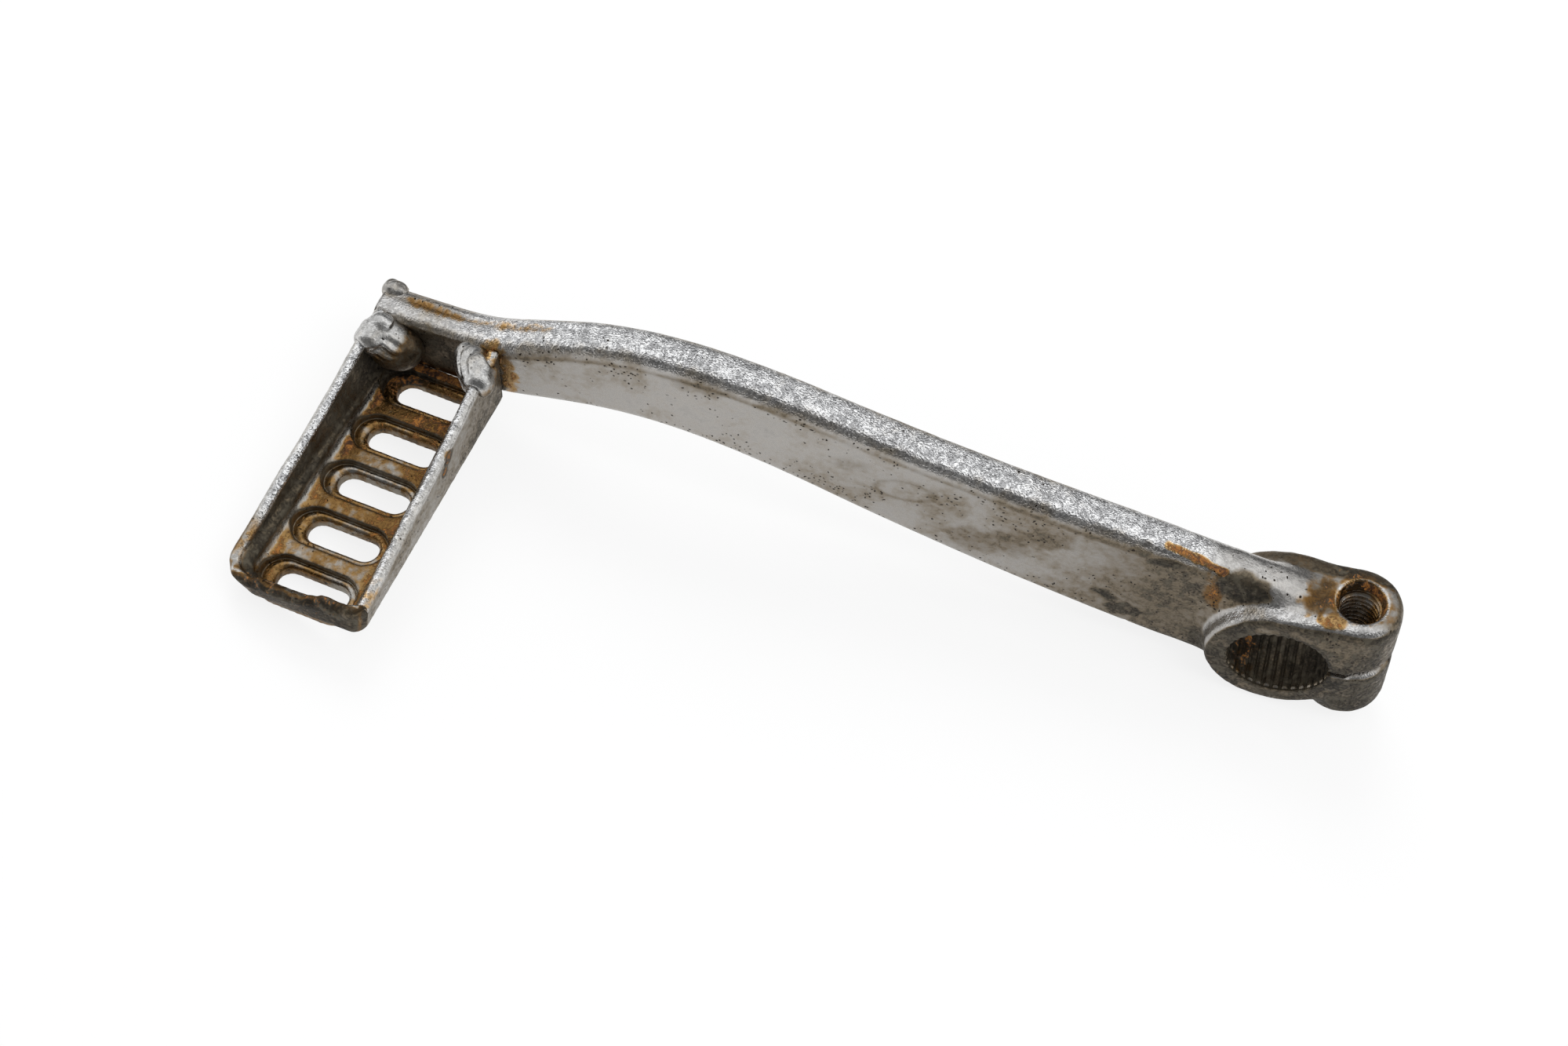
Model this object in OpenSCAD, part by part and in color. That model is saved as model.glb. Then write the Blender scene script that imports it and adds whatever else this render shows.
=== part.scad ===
/* [Clamp eye] */
// Bore across the tips of the serrations
bore_d = 18.4; // [15:0.1:18.6]
// Depth of each serration
serration_depth = 0.5; // [0.3:0.05:0.7]
// Number of serrations round the bore
serration_count = 36; // [24:1:44]
// Part of each pitch that is left as a flat tip
tip_share = 0.44; // [0.4:0.01:0.6]
// Outside diameter of the eye
eye_d = 27.4; // [26:0.1:30]
// Length of the eye along the shaft
eye_len = 16.2; // [14:0.1:20]
// Rounding of the eye's rims
eye_edge_r = 1.1; // [0.6:0.1:1.5]
// Width of the saw slit
slit_w = 1.6; // [1:0.1:2.4]
// Radius of the sweep from the arm's face out to the eye
eye_sweep_r = 3.2; // [2:0.1:3.6]

/* [Pinch bolt lugs] */
// Distance from the shaft's axis to the pinch bolt's axis
bolt_offset = 12.4; // [12.2:0.1:12.6]
// Width of the lugs, across the pinch bolt
lug_w = 15.6; // [14:0.1:16]
// Top of the threaded lug above the middle of the slit
lug_top = 13.5; // [13.2:0.1:13.6]
// Underside of the lower lug below the middle of the slit
lug_bottom = 14.6; // [13.8:0.1:16]
// Rounding of the lugs' outer edges
lug_edge_r = 2; // [1:0.1:2.6]
// Bore of the threaded lug
thread_d = 6.8; // [6:0.1:7.2]
// Shallow counterbore over the thread
counterbore_d = 8.5; // [8:0.1:9.4]
// Depth of that counterbore
counterbore_depth = 2.4; // [1:0.1:4]
// Clearance hole through the lower lug
bolt_clear_d = 9; // [8.8:0.1:9.2]

/* [Arm] */
// Thickness of the forged arm
arm_t = 8; // [6:0.1:10]
// Rounding of the arm's edges
arm_edge_r = 2.3; // [1:0.1:2.9]
// Height of the arm's middle over the shaft's axis, at the shaft
root_z = 1.2; // [0.8:0.1:1.6]
// Distance back to the steepest point of the arm
mid_at = 84; // [76:1:92]
// Height of the arm's middle there
mid_z = 29.4; // [24:0.1:33]
// Slope of the arm there
mid_slope = 0.43; // [0.3:0.01:0.5]
// Distance back to the crest of the arm
crest_at = 124; // [116:1:130]
// Height of the arm's middle at the crest
crest_z = 40.1; // [36:0.1:44]
// Distance back to the start of the level end that carries the pad
seat_at = 156; // [152:1:158]
// Height of the arm's middle at that end
seat_z = 36; // [34:0.1:38]
// Depth of the arm at the eye
root_depth = 28.2; // [27:0.1:28.6]
// Depth of the arm at its steepest point
mid_depth = 22.2; // [18:0.1:24]
// Depth of the arm at its crest
crest_depth = 17.8; // [15:0.1:20]
// Depth of the arm where it carries the pad
seat_depth = 13.4; // [12.6:0.1:15]

/* [Foot pad] */
// Height of the pad's tread face over the arm's underside
seat_sink = 0.9; // [0.5:0.1:1.4]
// Distance back from the shaft's axis to the pad's near wall
pad_at = 145.6; // [143:0.1:149]
// Turn of the pad and of the arm's end, seen from above
pad_yaw = 10; // [6:0.5:12]
// Width of the tray at its base, at the arm
pad_w = 24.4; // [22:0.1:28]
// How much wider the base is at its outer end, towards the shaft
pad_flare = 1.2; // [0:0.1:2]
// Length of the tray, out from the arm
pad_len = 55.2; // [54:0.1:60]
// Thickness of the tray's floor
floor_t = 2.2; // [1.8:0.1:2.6]
// Thickness of the tray's walls
wall_t = 2.2; // [1.8:0.1:2.6]
// Height of the walls at the arm
wall_h_arm = 15.4; // [14:0.1:16.5]
// Height of the walls at the outer end
wall_h_end = 6; // [5:0.1:8]
// How far the rear wall's rim leans out at the arm
lean_arm = 0.5; // [0:0.1:1.5]
// How far the rear wall's rim leans out at the outer end
lean_end = 1.8; // [1:0.1:2.6]
// How far the rims of the end wall and of the wall on the shaft's side lean out
lean_front = 0.6; // [0:0.1:1.5]
// Radius of the tray's rear outer corner
pad_corner_r = 4.6; // [4:0.1:6]
// Radius of the tray's outer corner on the shaft's side
pad_toe_r = 2.8; // [2.2:0.1:6]
// Rounding between the tray's base and its walls, outside
pad_base_r = 1.7; // [1:0.1:1.8]
// Rounding between the tray's floor and its walls, inside
pad_inner_r = 2.4; // [1.6:0.1:2.8]
// Number of slots
slot_count = 5; // [3:1:5]
// Distance from slot to slot
slot_pitch = 10.95; // [10.6:0.05:11.1]
// Distance from the arm to the middle of the first slot
slot_first = 6; // [5.6:0.1:6.2]
// Distance of the slots from the tray's middle, towards the shaft
slot_shift = 0.5; // [0:0.1:1]
// Width of each slot
slot_w = 4.8; // [4:0.1:5.4]
// Length of each slot, end to end
slot_len = 14; // [11:0.1:15]
// Width of the pressed recess round each slot
recess_w = 7.8; // [7:0.1:8.2]
// Length of that recess, end to end
recess_len = 18.4; // [17:0.1:18.8]
// Depth of the recess below the tray's floor
recess_depth = 1.5; // [1:0.1:1.7]
// How far the rim of each slot stands out of the tread
tread_rim_h = 1.2; // [0.6:0.1:1.6]
// How far that rim is wider than the recess, each side
tread_rim_w = 0.7; // [0.5:0.1:0.8]

/* [Welds] */
// Radius of the lump of weld at the arm's end
weld_lump_r = 4; // [3.4:0.1:4.6]
// Radius of the weld run over the wall on the shaft's side
weld_run_r = 3.2; // [2.7:0.1:3.7]
// Radius of the weld behind the arm's end
weld_back_r = 2.1; // [1.7:0.1:2.5]

/* [Lie] */
// Turn about the shaft's axis that lays the eye and the pad on one surface
lay_angle = 13.3; // [12.5:0.1:14]

/* [Hidden] */
facets = 96;
chrome = [0.62, 0.6, 0.57];
worn_chrome = [0.56, 0.52, 0.46];
weld_grey = [0.5, 0.47, 0.42];

// The clamp eye and its lugs
half_len = eye_len / 2;
bore_r = bore_d / 2;
lug_r = lug_w / 2;
through = 4 * eye_d;

// The arm: where it starts inside the eye and where it ends at the pad
arm_start = -6;
arm_end = pad_at + (pad_w + lean_arm) * cos(pad_yaw);
start_z = 0.7;
start_depth = 24.4;
root_slope = 0.28;
seat_slope = -0.05;
end_drop = 0.5;
bend_len = 14;
bend_mid = pad_at + 0.6;
arm_steps = 46;
corner_steps = 4;
seat_cut = 0.3;

// The height of the tread face over the shaft's axis, before the pedal is laid down
tread_z = seat_z - seat_depth / 2 - seat_sink;
pad_front = arm_t / 2 - seat_cut;
turn_steps = 8;
tight_r = 0.4;
spare = 9;

// Heights over the tread face of the arm's top at the seat and of the walls' rims at the arm
arm_top = seat_depth + seat_sink;
rim_top = wall_h_arm;

// Cubic curve from a to b, where each is [distance, value, slope]
function blend(a, b, d) =
    let (span = b[0] - a[0], t = (d - a[0]) / span)
    (2 * t^3 - 3 * t^2 + 1) * a[1] + (t^3 - 2 * t^2 + t) * span * a[2]
    + (3 * t^2 - 2 * t^3) * b[1] + (t^3 - t^2) * span * b[2];

// The stretch of a list of knots that holds the distance d
function stretch(knots, d, i = 0) =
    i >= len(knots) - 2 || d < knots[i + 1][0] ? i : stretch(knots, d, i + 1);

function along(knots, d) =
    let (i = stretch(knots, d)) blend(knots[i], knots[i + 1], d);

arm_middle = [
    [arm_start, start_z, 0],
    [0, root_z, root_slope],
    [mid_at, mid_z, mid_slope],
    [crest_at, crest_z, 0],
    [seat_at, seat_z, seat_slope],
    [arm_end, seat_z - end_drop, 0]
];
arm_depth = [
    [arm_start, start_depth, 0.7],
    [0, root_depth, 0],
    [mid_at, mid_depth, -0.1],
    [crest_at, crest_depth, -0.12],
    [seat_at, seat_depth, -0.03],
    [arm_end, seat_depth - end_drop, 0]
];

// The arm's end turns in plan by pad_yaw, over bend_len round bend_mid
function bend_share(d) = (d - bend_mid) / bend_len + 0.5;
function turned(u) = u < 0 ? 0 : u < 1 ? 3 * u^2 - 2 * u^3 : 1;
function swept(u) = u < 0 ? 0 : u < 1 ? u^3 - u^4 / 2 : u - 0.5;
function arm_side(d) = tan(pad_yaw) * bend_len * swept(bend_share(d));
function arm_turn(d) = pad_yaw * turned(bend_share(d));

// A rectangle w by h about the origin with its corners rounded, as a list of points
function rounded(w, h, r, steps) = [
    for (corner = [0:3], i = [0:steps])
        let (
            a = corner * 90 + i * 90 / steps,
            cx = (corner == 0 || corner == 3 ? 1 : -1) * (w / 2 - r),
            cy = (corner < 2 ? 1 : -1) * (h / 2 - r)
        )
        [cx + r * cos(a), cy + r * sin(a)]
];

// Faces of a closed tube of rings, each ring a list of count points
function tube_faces(rings, count) = concat(
    [[for (j = [0:count - 1]) j]],
    [for (i = [0:rings - 2], j = [0:count - 1], side = [0, 1])
        let (
            a = i * count + j,
            b = i * count + (j + 1) % count
        )
        side == 0 ? [a, a + count, b] : [b, a + count, b + count]],
    [[for (j = [count - 1:-1:0]) (rings - 1) * count + j]]
);

// A straight slot with round ends, seen from above
module slot_shape(length, width) {
    square([length - width, width], center = true);
    for (side = [-1, 1])
        translate([side * (length - width) / 2, 0])
            circle(d = width, $fn = 48);
}

// The forged arm, from inside the eye to the square end behind the pad
module arm_blank() {
    distances = [for (i = [0:arm_steps]) arm_start + (arm_end - arm_start) * i / arm_steps];
    points = [
        for (d = distances)
            let (
                h = along(arm_depth, d),
                z = along(arm_middle, d),
                y = arm_side(d),
                turn = arm_turn(d)
            )
            for (p = rounded(arm_t, h, arm_edge_r, corner_steps))
                [-d - p[0] * sin(turn), y - p[0] * cos(turn), z + p[1]]
    ];
    polyhedron(points, tube_faces(len(distances), 4 * (corner_steps + 1)), convexity = 6);
}

// The arm with the flat that the pad's near edge is welded against
module arm_with_seat() {
    difference() {
        arm_blank();
        at_pad()
            translate([-2 * pad_w, -pad_len, -pad_len])
                cube([2 * pad_w + 1, pad_len, 2 * pad_len]);
    }
}

// The arm's outline near the eye, drawn in a little, as a slab as thick as the eye is long
module arm_slab(reach, inset) {
    steps = 12;
    distances = [for (i = [0:steps]) reach * i / steps];
    top = [for (d = distances) [-d, along(arm_middle, d) + along(arm_depth, d) / 2 - inset]];
    bottom = [for (d = distances) [-d, along(arm_middle, d) - along(arm_depth, d) / 2 + inset]];
    rotate([90, 0, 0])
        linear_extrude(eye_len, center = true)
            polygon(concat(top, [for (i = [steps:-1:0]) bottom[i]]));
}

// Round body about the shaft's axis, turned from a profile of [radius, distance along it]
module turned_on_shaft(profile) {
    rotate([90, 0, 0])
        rotate_extrude($fn = facets)
            polygon(profile);
}

module eye_blank() {
    r = eye_d / 2;
    e = eye_edge_r;
    rim = [for (i = [0:4]) [r - e + e * cos(i * 22.5), half_len - e + e * sin(i * 22.5)]];
    back_rim = [for (i = [4:-1:0]) [rim[i][0], -rim[i][1]]];
    turned_on_shaft(concat([[0, half_len]], [for (i = [4:-1:0]) rim[i]],
        [for (i = [4:-1:0]) back_rim[i]], [[0, -half_len]]));
}

// The hollow sweep that carries the arm's faces out to the eye's rims
module eye_sweep() {
    r = eye_d / 2 - 0.4;
    s = eye_sweep_r;
    face = arm_t / 2 - 0.15;
    curve = [for (i = [0:6]) [r + s - s * sin(i * 15), face + s - s * cos(i * 15)]];
    back_curve = [for (i = [6:-1:0]) [curve[i][0], -curve[i][1]]];
    intersection() {
        turned_on_shaft(concat([[0, face + s]], [for (i = [6:-1:0]) curve[i]],
            [for (i = [6:-1:0]) back_curve[i]], [[0, -face - s]]));
        arm_slab(eye_d / 2 + eye_sweep_r + 4, arm_edge_r / 2);
    }
}

// Half of a lug's section: a flat face at z = 0 and a rounded edge at z = high
function lug_profile(high) =
    let (e = lug_edge_r)
    [for (i = [0:4]) [lug_r - e + e * cos(i * 22.5), high - e + e * sin(i * 22.5)]];

// A lug end, round about the pinch bolt
module lug_end(high) {
    translate([bolt_offset, 0, 0])
        rotate_extrude($fn = facets)
            polygon(concat([[0, 0], [lug_r, 0]], lug_profile(high), [[0, high]]));
}

// The straight part of a lug, between the eye and its round end
module lug_web(high) {
    side = lug_profile(high);
    rotate([90, 0, 90])
        linear_extrude(bolt_offset)
            polygon(concat([[-lug_r, 0], [lug_r, 0]], side,
                [for (i = [4:-1:0]) [-side[i][0], side[i][1]]]));
}

// The serrations: a ring of vee grooves cut outwards from the bore
module serrations() {
    pitch_angle = 360 / serration_count;
    half_mouth = pitch_angle * (1 - tip_share) / 2;
    inner = bore_r - 0.2;
    half_inner = bore_r * sin(half_mouth);
    rotate([90, 0, 0])
        for (i = [0:serration_count - 1])
            rotate(i * pitch_angle)
                linear_extrude(through, center = true)
                    polygon([
                        [inner, -half_inner],
                        [bore_r + serration_depth, 0],
                        [inner, half_inner]
                    ]);
}

module clamp_cuts() {
    rotate([90, 0, 0])
        cylinder(d = bore_d, h = through, center = true, $fn = facets);
    serrations();
    translate([0, -through / 2, -slit_w / 2])
        cube([through, through, slit_w]);
    translate([bolt_offset, 0, 0])
        cylinder(d = thread_d, h = through, $fn = facets);
    translate([bolt_offset, 0, -through])
        cylinder(d = bolt_clear_d, h = through, $fn = facets);
    translate([bolt_offset, 0, lug_top - counterbore_depth])
        cylinder(d = counterbore_d, h = through, $fn = facets);
}

module arm_solid() {
    difference() {
        union() {
            arm_with_seat();
            eye_blank();
            eye_sweep();
            lug_end(lug_top);
            lug_web(lug_top);
            mirror([0, 0, 1]) {
                lug_end(lug_bottom);
                lug_web(eye_d / 2 - lug_edge_r);
            }
        }
        clamp_cuts();
    }
}

// Puts a piece that is drawn in the pad's own corner where the pad is:
// x runs along the arm's end, -y out from it, and z = 0 is the tread face
module at_pad() {
    translate([-pad_at, -pad_front, tread_z])
        rotate([0, 0, -pad_yaw])
            children();
}

function wall_h(v) = wall_h_arm + (wall_h_end - wall_h_arm) * v / pad_len;
function wall_lean(v) = lean_arm + (lean_end - lean_arm) * v / pad_len;

// The tray's section at a distance v from the arm, for a rim that leans out by lean:
// [outwards, up] from the edge of the flat tread, up the outside, over the rim and down to
// the edge of the flat floor
function tray_section(v, lean) =
    let (
        h = wall_h(v),
        rim = wall_t / 2,
        foot = pad_base_r,
        inner = pad_inner_r
    )
    concat(
        [for (i = [0:4]) [-foot + foot * sin(i * 22.5), foot - foot * cos(i * 22.5)]],
        [for (i = [0:6]) [lean - rim + rim * cos(i * 30), h - rim + rim * sin(i * 30)]],
        [for (i = [0:4])
            [-wall_t - inner + inner * cos(i * 22.5), floor_t + inner - inner * sin(i * 22.5)]]
    );

// The tray's sharp corners in plan, run on past the arm's face by spare:
// [x, y, direction of the side before it, radius]
corners = [
    [-pad_flare * spare / pad_len, spare, 0, pad_corner_r],
    [-pad_w, spare, 90, pad_corner_r],
    [-pad_w, -pad_len, 180, pad_corner_r],
    [pad_flare, -pad_len, 270, pad_toe_r]
];

// The point of ring k of the tray at the angle a round the corner c
function tray_point(c, a, k) =
    let (
        sx = c[2] == 0 || c[2] == 270 ? 1 : -1,
        sy = c[2] < 180 ? 1 : -1,
        v = sy * c[3] - c[1] - c[3] * sin(a),
        side = tray_section(v, sx > 0 ? lean_front : wall_lean(v))[k],
        end = tray_section(v, lean_front)[k],
        r = max(c[3] + min(side[0], end[0]), tight_r)
    )
    [
        c[0] + sx * (side[0] - r) + r * cos(a),
        c[1] + sy * (end[0] - r) + r * sin(a),
        side[1]
    ];

module tray_body() {
    rings = len(tray_section(0, 0));
    points = [
        for (k = [0:rings - 1], c = corners, i = [0:turn_steps])
            tray_point(c, c[2] + 90 * i / turn_steps, k)
    ];
    difference() {
        polyhedron(points, tube_faces(rings, 4 * (turn_steps + 1)), convexity = 8);
        translate([-2 * pad_w, 0, -pad_len])
            cube([3 * pad_w, 2 * spare, 2 * pad_len]);
    }
}

module each_slot() {
    for (i = [0:slot_count - 1])
        translate([-pad_w / 2, -slot_first - i * slot_pitch, 0])
            children();
}

module pad_solid() {
    difference() {
        union() {
            tray_body();
            each_slot()
                translate([0, 0, -tread_rim_h])
                    linear_extrude(tread_rim_h + floor_t / 2)
                        slot_shape(recess_len + 2 * tread_rim_w, recess_w + 2 * tread_rim_w);
        }
        each_slot() {
            translate([0, 0, floor_t - recess_depth])
                linear_extrude(recess_depth + pad_base_r)
                    slot_shape(recess_len, recess_w);
            translate([slot_shift, 0, -floor_t])
                linear_extrude(3 * floor_t)
                    slot_shape(slot_len, slot_w);
        }
    }
}

// A run of weld metal of radius r from the place p in the pad's own corner, laid as a row of
// drops: [x, y, z, radius], each as a share of r
module weld_run(p, r, drops) {
    for (d = drops)
        translate(p + r * [d[0], d[1], d[2]])
            sphere(r = r * d[3], $fn = facets);
}

// Weld metal as it lies, without what the arm and the pad already fill
module weld_metal() {
    difference() {
        at_pad()
            children();
        arm_with_seat();
        at_pad()
            tray_body();
    }
}

module laid() {
    rotate([0, -lay_angle, 0])
        children();
}

module pedal_arm() {
    color(chrome)
        laid()
            arm_solid();
}

module foot_pad() {
    color(worn_chrome)
        laid()
            at_pad()
                pad_solid();
}

// The lump in the corner between the rear wall and the arm, and its cover over the wall's rim
module weld_outer() {
    color(weld_grey)
        laid()
            weld_metal() {
                weld_run([-pad_w, 0, arm_top], weld_lump_r, [
                    [1.06, -0.75, -1.15, 1],
                    [1.35, -0.6, -1.4, 0.95]
                ]);
                weld_run([-pad_w, 0, rim_top], weld_lump_r, [
                    [0.38, -0.85, -0.6, 0.66],
                    [0.3, -1.4, -0.62, 0.58],
                    [0.64, -1.1, -1.05, 0.64]
                ]);
            }
}

// The run from the arm's face over the rim of the wall on the shaft's side
module weld_inner() {
    color(weld_grey)
        laid()
            weld_metal()
                weld_run([0, 0, rim_top], weld_run_r, [
                    [-1.6, -0.3, -1, 0.8],
                    [-1.12, -0.7, -1.05, 1],
                    [-0.6, -1.2, -0.9, 1],
                    [-0.2, -1.8, -0.85, 0.84]
                ]);
}

module weld_back() {
    color(weld_grey)
        laid()
            weld_metal()
                weld_run([-pad_w, arm_t, arm_top], weld_back_r, [
                    [-0.1, -0.95, -0.65, 1],
                    [0.6, -0.95, -0.6, 0.9]
                ]);
}

pedal_arm();
foot_pad();
weld_outer();
weld_inner();
weld_back();
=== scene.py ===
# %% [markdown]
# # A worn rear brake pedal
# The pedal is a chromed forging: a serrated clamp eye at one end, a flat curved arm, and at
# the other end a slotted foot tray that was welded on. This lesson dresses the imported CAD
# part as it looks after years of use. The CAD model stays the frame: every piece is placed
# by its numbers, so nothing is fitted by eye.

# %% Load the frame
import math
from collections import namedtuple

import bmesh
import bpy
import numpy as np
from mathutils import Matrix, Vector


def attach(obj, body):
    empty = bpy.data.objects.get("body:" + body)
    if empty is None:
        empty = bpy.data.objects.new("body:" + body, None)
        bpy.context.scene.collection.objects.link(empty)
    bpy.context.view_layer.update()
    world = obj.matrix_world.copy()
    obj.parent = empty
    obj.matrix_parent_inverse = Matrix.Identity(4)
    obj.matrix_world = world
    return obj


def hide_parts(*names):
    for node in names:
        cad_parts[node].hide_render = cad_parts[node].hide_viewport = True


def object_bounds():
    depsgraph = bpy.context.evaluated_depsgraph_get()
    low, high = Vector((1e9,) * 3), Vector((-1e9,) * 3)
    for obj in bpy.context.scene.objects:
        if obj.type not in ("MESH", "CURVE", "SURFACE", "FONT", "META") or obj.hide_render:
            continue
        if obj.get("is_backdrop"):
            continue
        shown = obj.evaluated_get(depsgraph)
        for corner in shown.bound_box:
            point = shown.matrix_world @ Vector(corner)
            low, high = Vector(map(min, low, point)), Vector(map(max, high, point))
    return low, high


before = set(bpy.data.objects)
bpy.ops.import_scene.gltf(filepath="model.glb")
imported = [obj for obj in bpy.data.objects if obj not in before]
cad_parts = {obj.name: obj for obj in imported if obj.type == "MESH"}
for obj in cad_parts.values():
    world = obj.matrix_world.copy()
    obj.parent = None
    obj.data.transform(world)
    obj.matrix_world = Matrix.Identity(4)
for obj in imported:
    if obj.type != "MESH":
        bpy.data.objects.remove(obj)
cad_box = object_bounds()
print("CAD nodes:", sorted(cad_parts))

# %% [markdown]
# The sizes below are the ones the solids were drawn with, in millimetres. All the drawing is
# done in the clamp's own frame, with the bore along Y and the pinch bolt along Z. The last
# step lays the pedal down, as it lies on the table, and turns millimetres into metres.

# %% The sizes of the real piece
BORE_R = 9.2
SERRATIONS = 36
SERRATION_DEEP = 0.5
TIP_SHARE = 0.44
BOLT_X = 12.4
LUG_TOP = 13.5
COUNTERBORE_DEEP = 2.4
COUNTERBORE_R = 4.25
THREAD_R = 3.4
THREAD_PITCH = 1.25
SLIT_W = 1.6
ARM_T = 8.0
ARM_EDGE = 2.3
PAD_AT = 145.6
PAD_YAW = 10.0
PAD_W = 24.4
PAD_FLARE = 1.2
PAD_LEN = 55.2
LEAN_ARM = 0.5
LEAN_END = 1.8
LEAN_FRONT = 0.6
WALL_H_ARM = 15.4
WALL_H_END = 6.0
SEAT_CUT = 0.3
LAY_ANGLE = 13.3
ARM_END = PAD_AT + (PAD_W + LEAN_ARM) * math.cos(math.radians(PAD_YAW))
TREAD_Z = 28.4
SLOT_FIRST = 6.0
SLOT_PITCH = 10.95
SLOT_SHIFT = 0.5
SLOT_W = 4.8
SLOT_LEN = 14.0
RECESS_W = 7.8
RECESS_LEN = 18.4

# %% Two frames: the clamp's and the laid pedal's
def laid(points):
    """Clamp frame in mm to the row frame in metres: a turn of LAY_ANGLE about the bore axis."""
    a = math.radians(LAY_ANGLE)
    x, y, z = np.asarray(points, float).T
    return np.stack([x * math.cos(a) - z * math.sin(a), y, x * math.sin(a) + z * math.cos(a)], 1) / 1000


def stood(points):
    """The row frame in metres back to the clamp frame in mm."""
    a = math.radians(LAY_ANGLE)
    x, y, z = np.asarray(points, float).T * 1000
    return np.stack([x * math.cos(a) + z * math.sin(a), y, z * math.cos(a) - x * math.sin(a)], 1)


def pad_corner(points):
    """Clamp frame to the tray's own corner: x along the arm's end, -y out from it, z up."""
    a = math.radians(PAD_YAW)
    x, y, z = (np.asarray(points, float) - [-PAD_AT, SEAT_CUT - ARM_T / 2, TREAD_Z]).T
    return np.stack([x * math.cos(a) - y * math.sin(a), x * math.sin(a) + y * math.cos(a), z], 1)


def from_pad(points):
    """The tray's own corner to the clamp frame."""
    a = math.radians(PAD_YAW)
    x, y, z = np.asarray(points, float).T
    turned = np.stack([x * math.cos(a) + y * math.sin(a), y * math.cos(a) - x * math.sin(a), z], 1)
    return turned + [-PAD_AT, SEAT_CUT - ARM_T / 2, TREAD_Z]


print("the bolt's axis in the row frame:", (laid([[0, 0, 1000]])[0]).round(3))

# %% [markdown]
# Forged and plated metal is never quite flat. The unevenness is value noise: random numbers
# on a cubic lattice, blended with a smooth step between them. Its seed is fixed, so each run
# gives the same pedal.

# %% Smooth noise and smooth steps
def smooth_step(low, high, value):
    """0 below low, 1 above high, and 3t^2 - 2t^3 between them. With low above high it falls."""
    t = np.clip((value - low) / (high - low), 0, 1)
    return t * t * (3 - 2 * t)


def lattice(i, j, k, seed):
    """A number from 0 to 1 for each lattice point, from the fraction of a large sine."""
    s = np.sin(i * 127.1 + j * 311.7 + k * 74.7 + seed * 53.9) * 43758.5453
    return s - np.floor(s)


def noise(points, size, seed=0):
    """Value noise from -1 to 1: eight lattice numbers blended by t^2 (3 - 2t) on each axis."""
    p = np.asarray(points, float) / size
    cell = np.floor(p)
    t = p - cell
    t = t * t * (3 - 2 * t)
    total = np.zeros(len(p))
    for di in (0, 1):
        for dj in (0, 1):
            for dk in (0, 1):
                share = (t[:, 0] if di else 1 - t[:, 0]) * (t[:, 1] if dj else 1 - t[:, 1])
                share = share * (t[:, 2] if dk else 1 - t[:, 2])
                total += share * lattice(cell[:, 0] + di, cell[:, 1] + dj, cell[:, 2] + dk, seed)
    return 2 * total - 1


def layered(points, size, seed=0):
    """Three layers of noise, each half as large and half as strong as the one before."""
    return sum(noise(points, size / 2**n, seed + n) / 2**n for n in range(3)) / 1.75


def near(points, centre, reach, ragged=0.5, seed=70):
    """1 at the centre and 0 beyond reach: 1 - smooth step of the distance in shares of reach.

    Noise times ragged is added to the distance, so the edge isn't round.
    """
    p = np.asarray(points, float)
    d = np.linalg.norm((p - centre) / np.asarray(reach, float), axis=1)
    d = d + ragged * (0.6 * noise(p, 3.1, seed) + 0.4 * noise(p, 1.1, seed + 1))
    return 1 - smooth_step(0.35, 1, d)


def bell(value, middle, width):
    """1 at the middle, falling on both sides as exp(-(distance / width)^2)."""
    return np.exp(-(((value - middle) / width) ** 2))


Mark = namedtuple("Mark", "strength place reach ragged")


def marks(points, named):
    """Adds up strength * near(place, reach, ragged) over a dictionary of named marks."""
    return sum(m.strength * near(points, m.place, m.reach, m.ragged) for m in named.values())


print("noise check:", noise(np.array([[1.5, 2.5, 3.5]]), 1.0).round(3))

# %% [markdown]
# Every piece is made in one of two ways. A surface that is a function of two parameters is
# worked out on a grid of points. A form that the CAD already holds, with its holes and slots,
# is a merged copy of the solid, re-meshed into small even quads, so its edges can be worn
# round and its skin can be dented. Both end in the same helper, which stores four masks on
# the points: how rusty, grimy, bright and pitted the plate is there. The grime mask also
# holds painted shade, and the bright mask holds painted highlights and glints.

# %% From points and faces to a finished piece
BODY = "root"


def make_piece(name, points, faces, masks, node):
    mesh = bpy.data.meshes.new(name)
    mesh.from_pydata(laid(points).tolist(), [], faces)
    mesh.update()
    for mask, values in masks.items():
        layer = mesh.attributes.new(mask, "FLOAT", "POINT")
        layer.data.foreach_set("value", np.clip(values, 0, 1).astype(np.float32))
    mesh.polygons.foreach_set("use_smooth", np.ones(len(mesh.polygons), bool))
    piece = bpy.data.objects.new(name, mesh)
    bpy.context.scene.collection.objects.link(piece)
    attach(piece, BODY)
    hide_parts(node)
    print(name, len(points), "points,", len(faces), "faces")


def grid_faces(rings, around):
    """Quads of a tube of rings, each closed on itself, with a flat face on either end."""
    i, j = np.meshgrid(np.arange(rings - 1), np.arange(around), indexing="ij")
    a = i * around + j
    b = i * around + (j + 1) % around
    quads = np.stack([a, b, b + around, a + around], -1).reshape(-1, 4).tolist()
    first = list(range(around))[::-1]
    last = list(range((rings - 1) * around, rings * around))
    return quads + [first, last]


def looped_faces(rings, around):
    """Quads of a grid that closes on itself both ways, as on a ring with a section all round."""
    i, j = np.meshgrid(np.arange(rings), np.arange(around), indexing="ij")
    a = i * around + j
    b = i * around + (j + 1) % around
    c = (i + 1) % rings * around + (j + 1) % around
    d = (i + 1) % rings * around + j
    return np.stack([a, b, c, d], -1).reshape(-1, 4).tolist()


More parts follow.
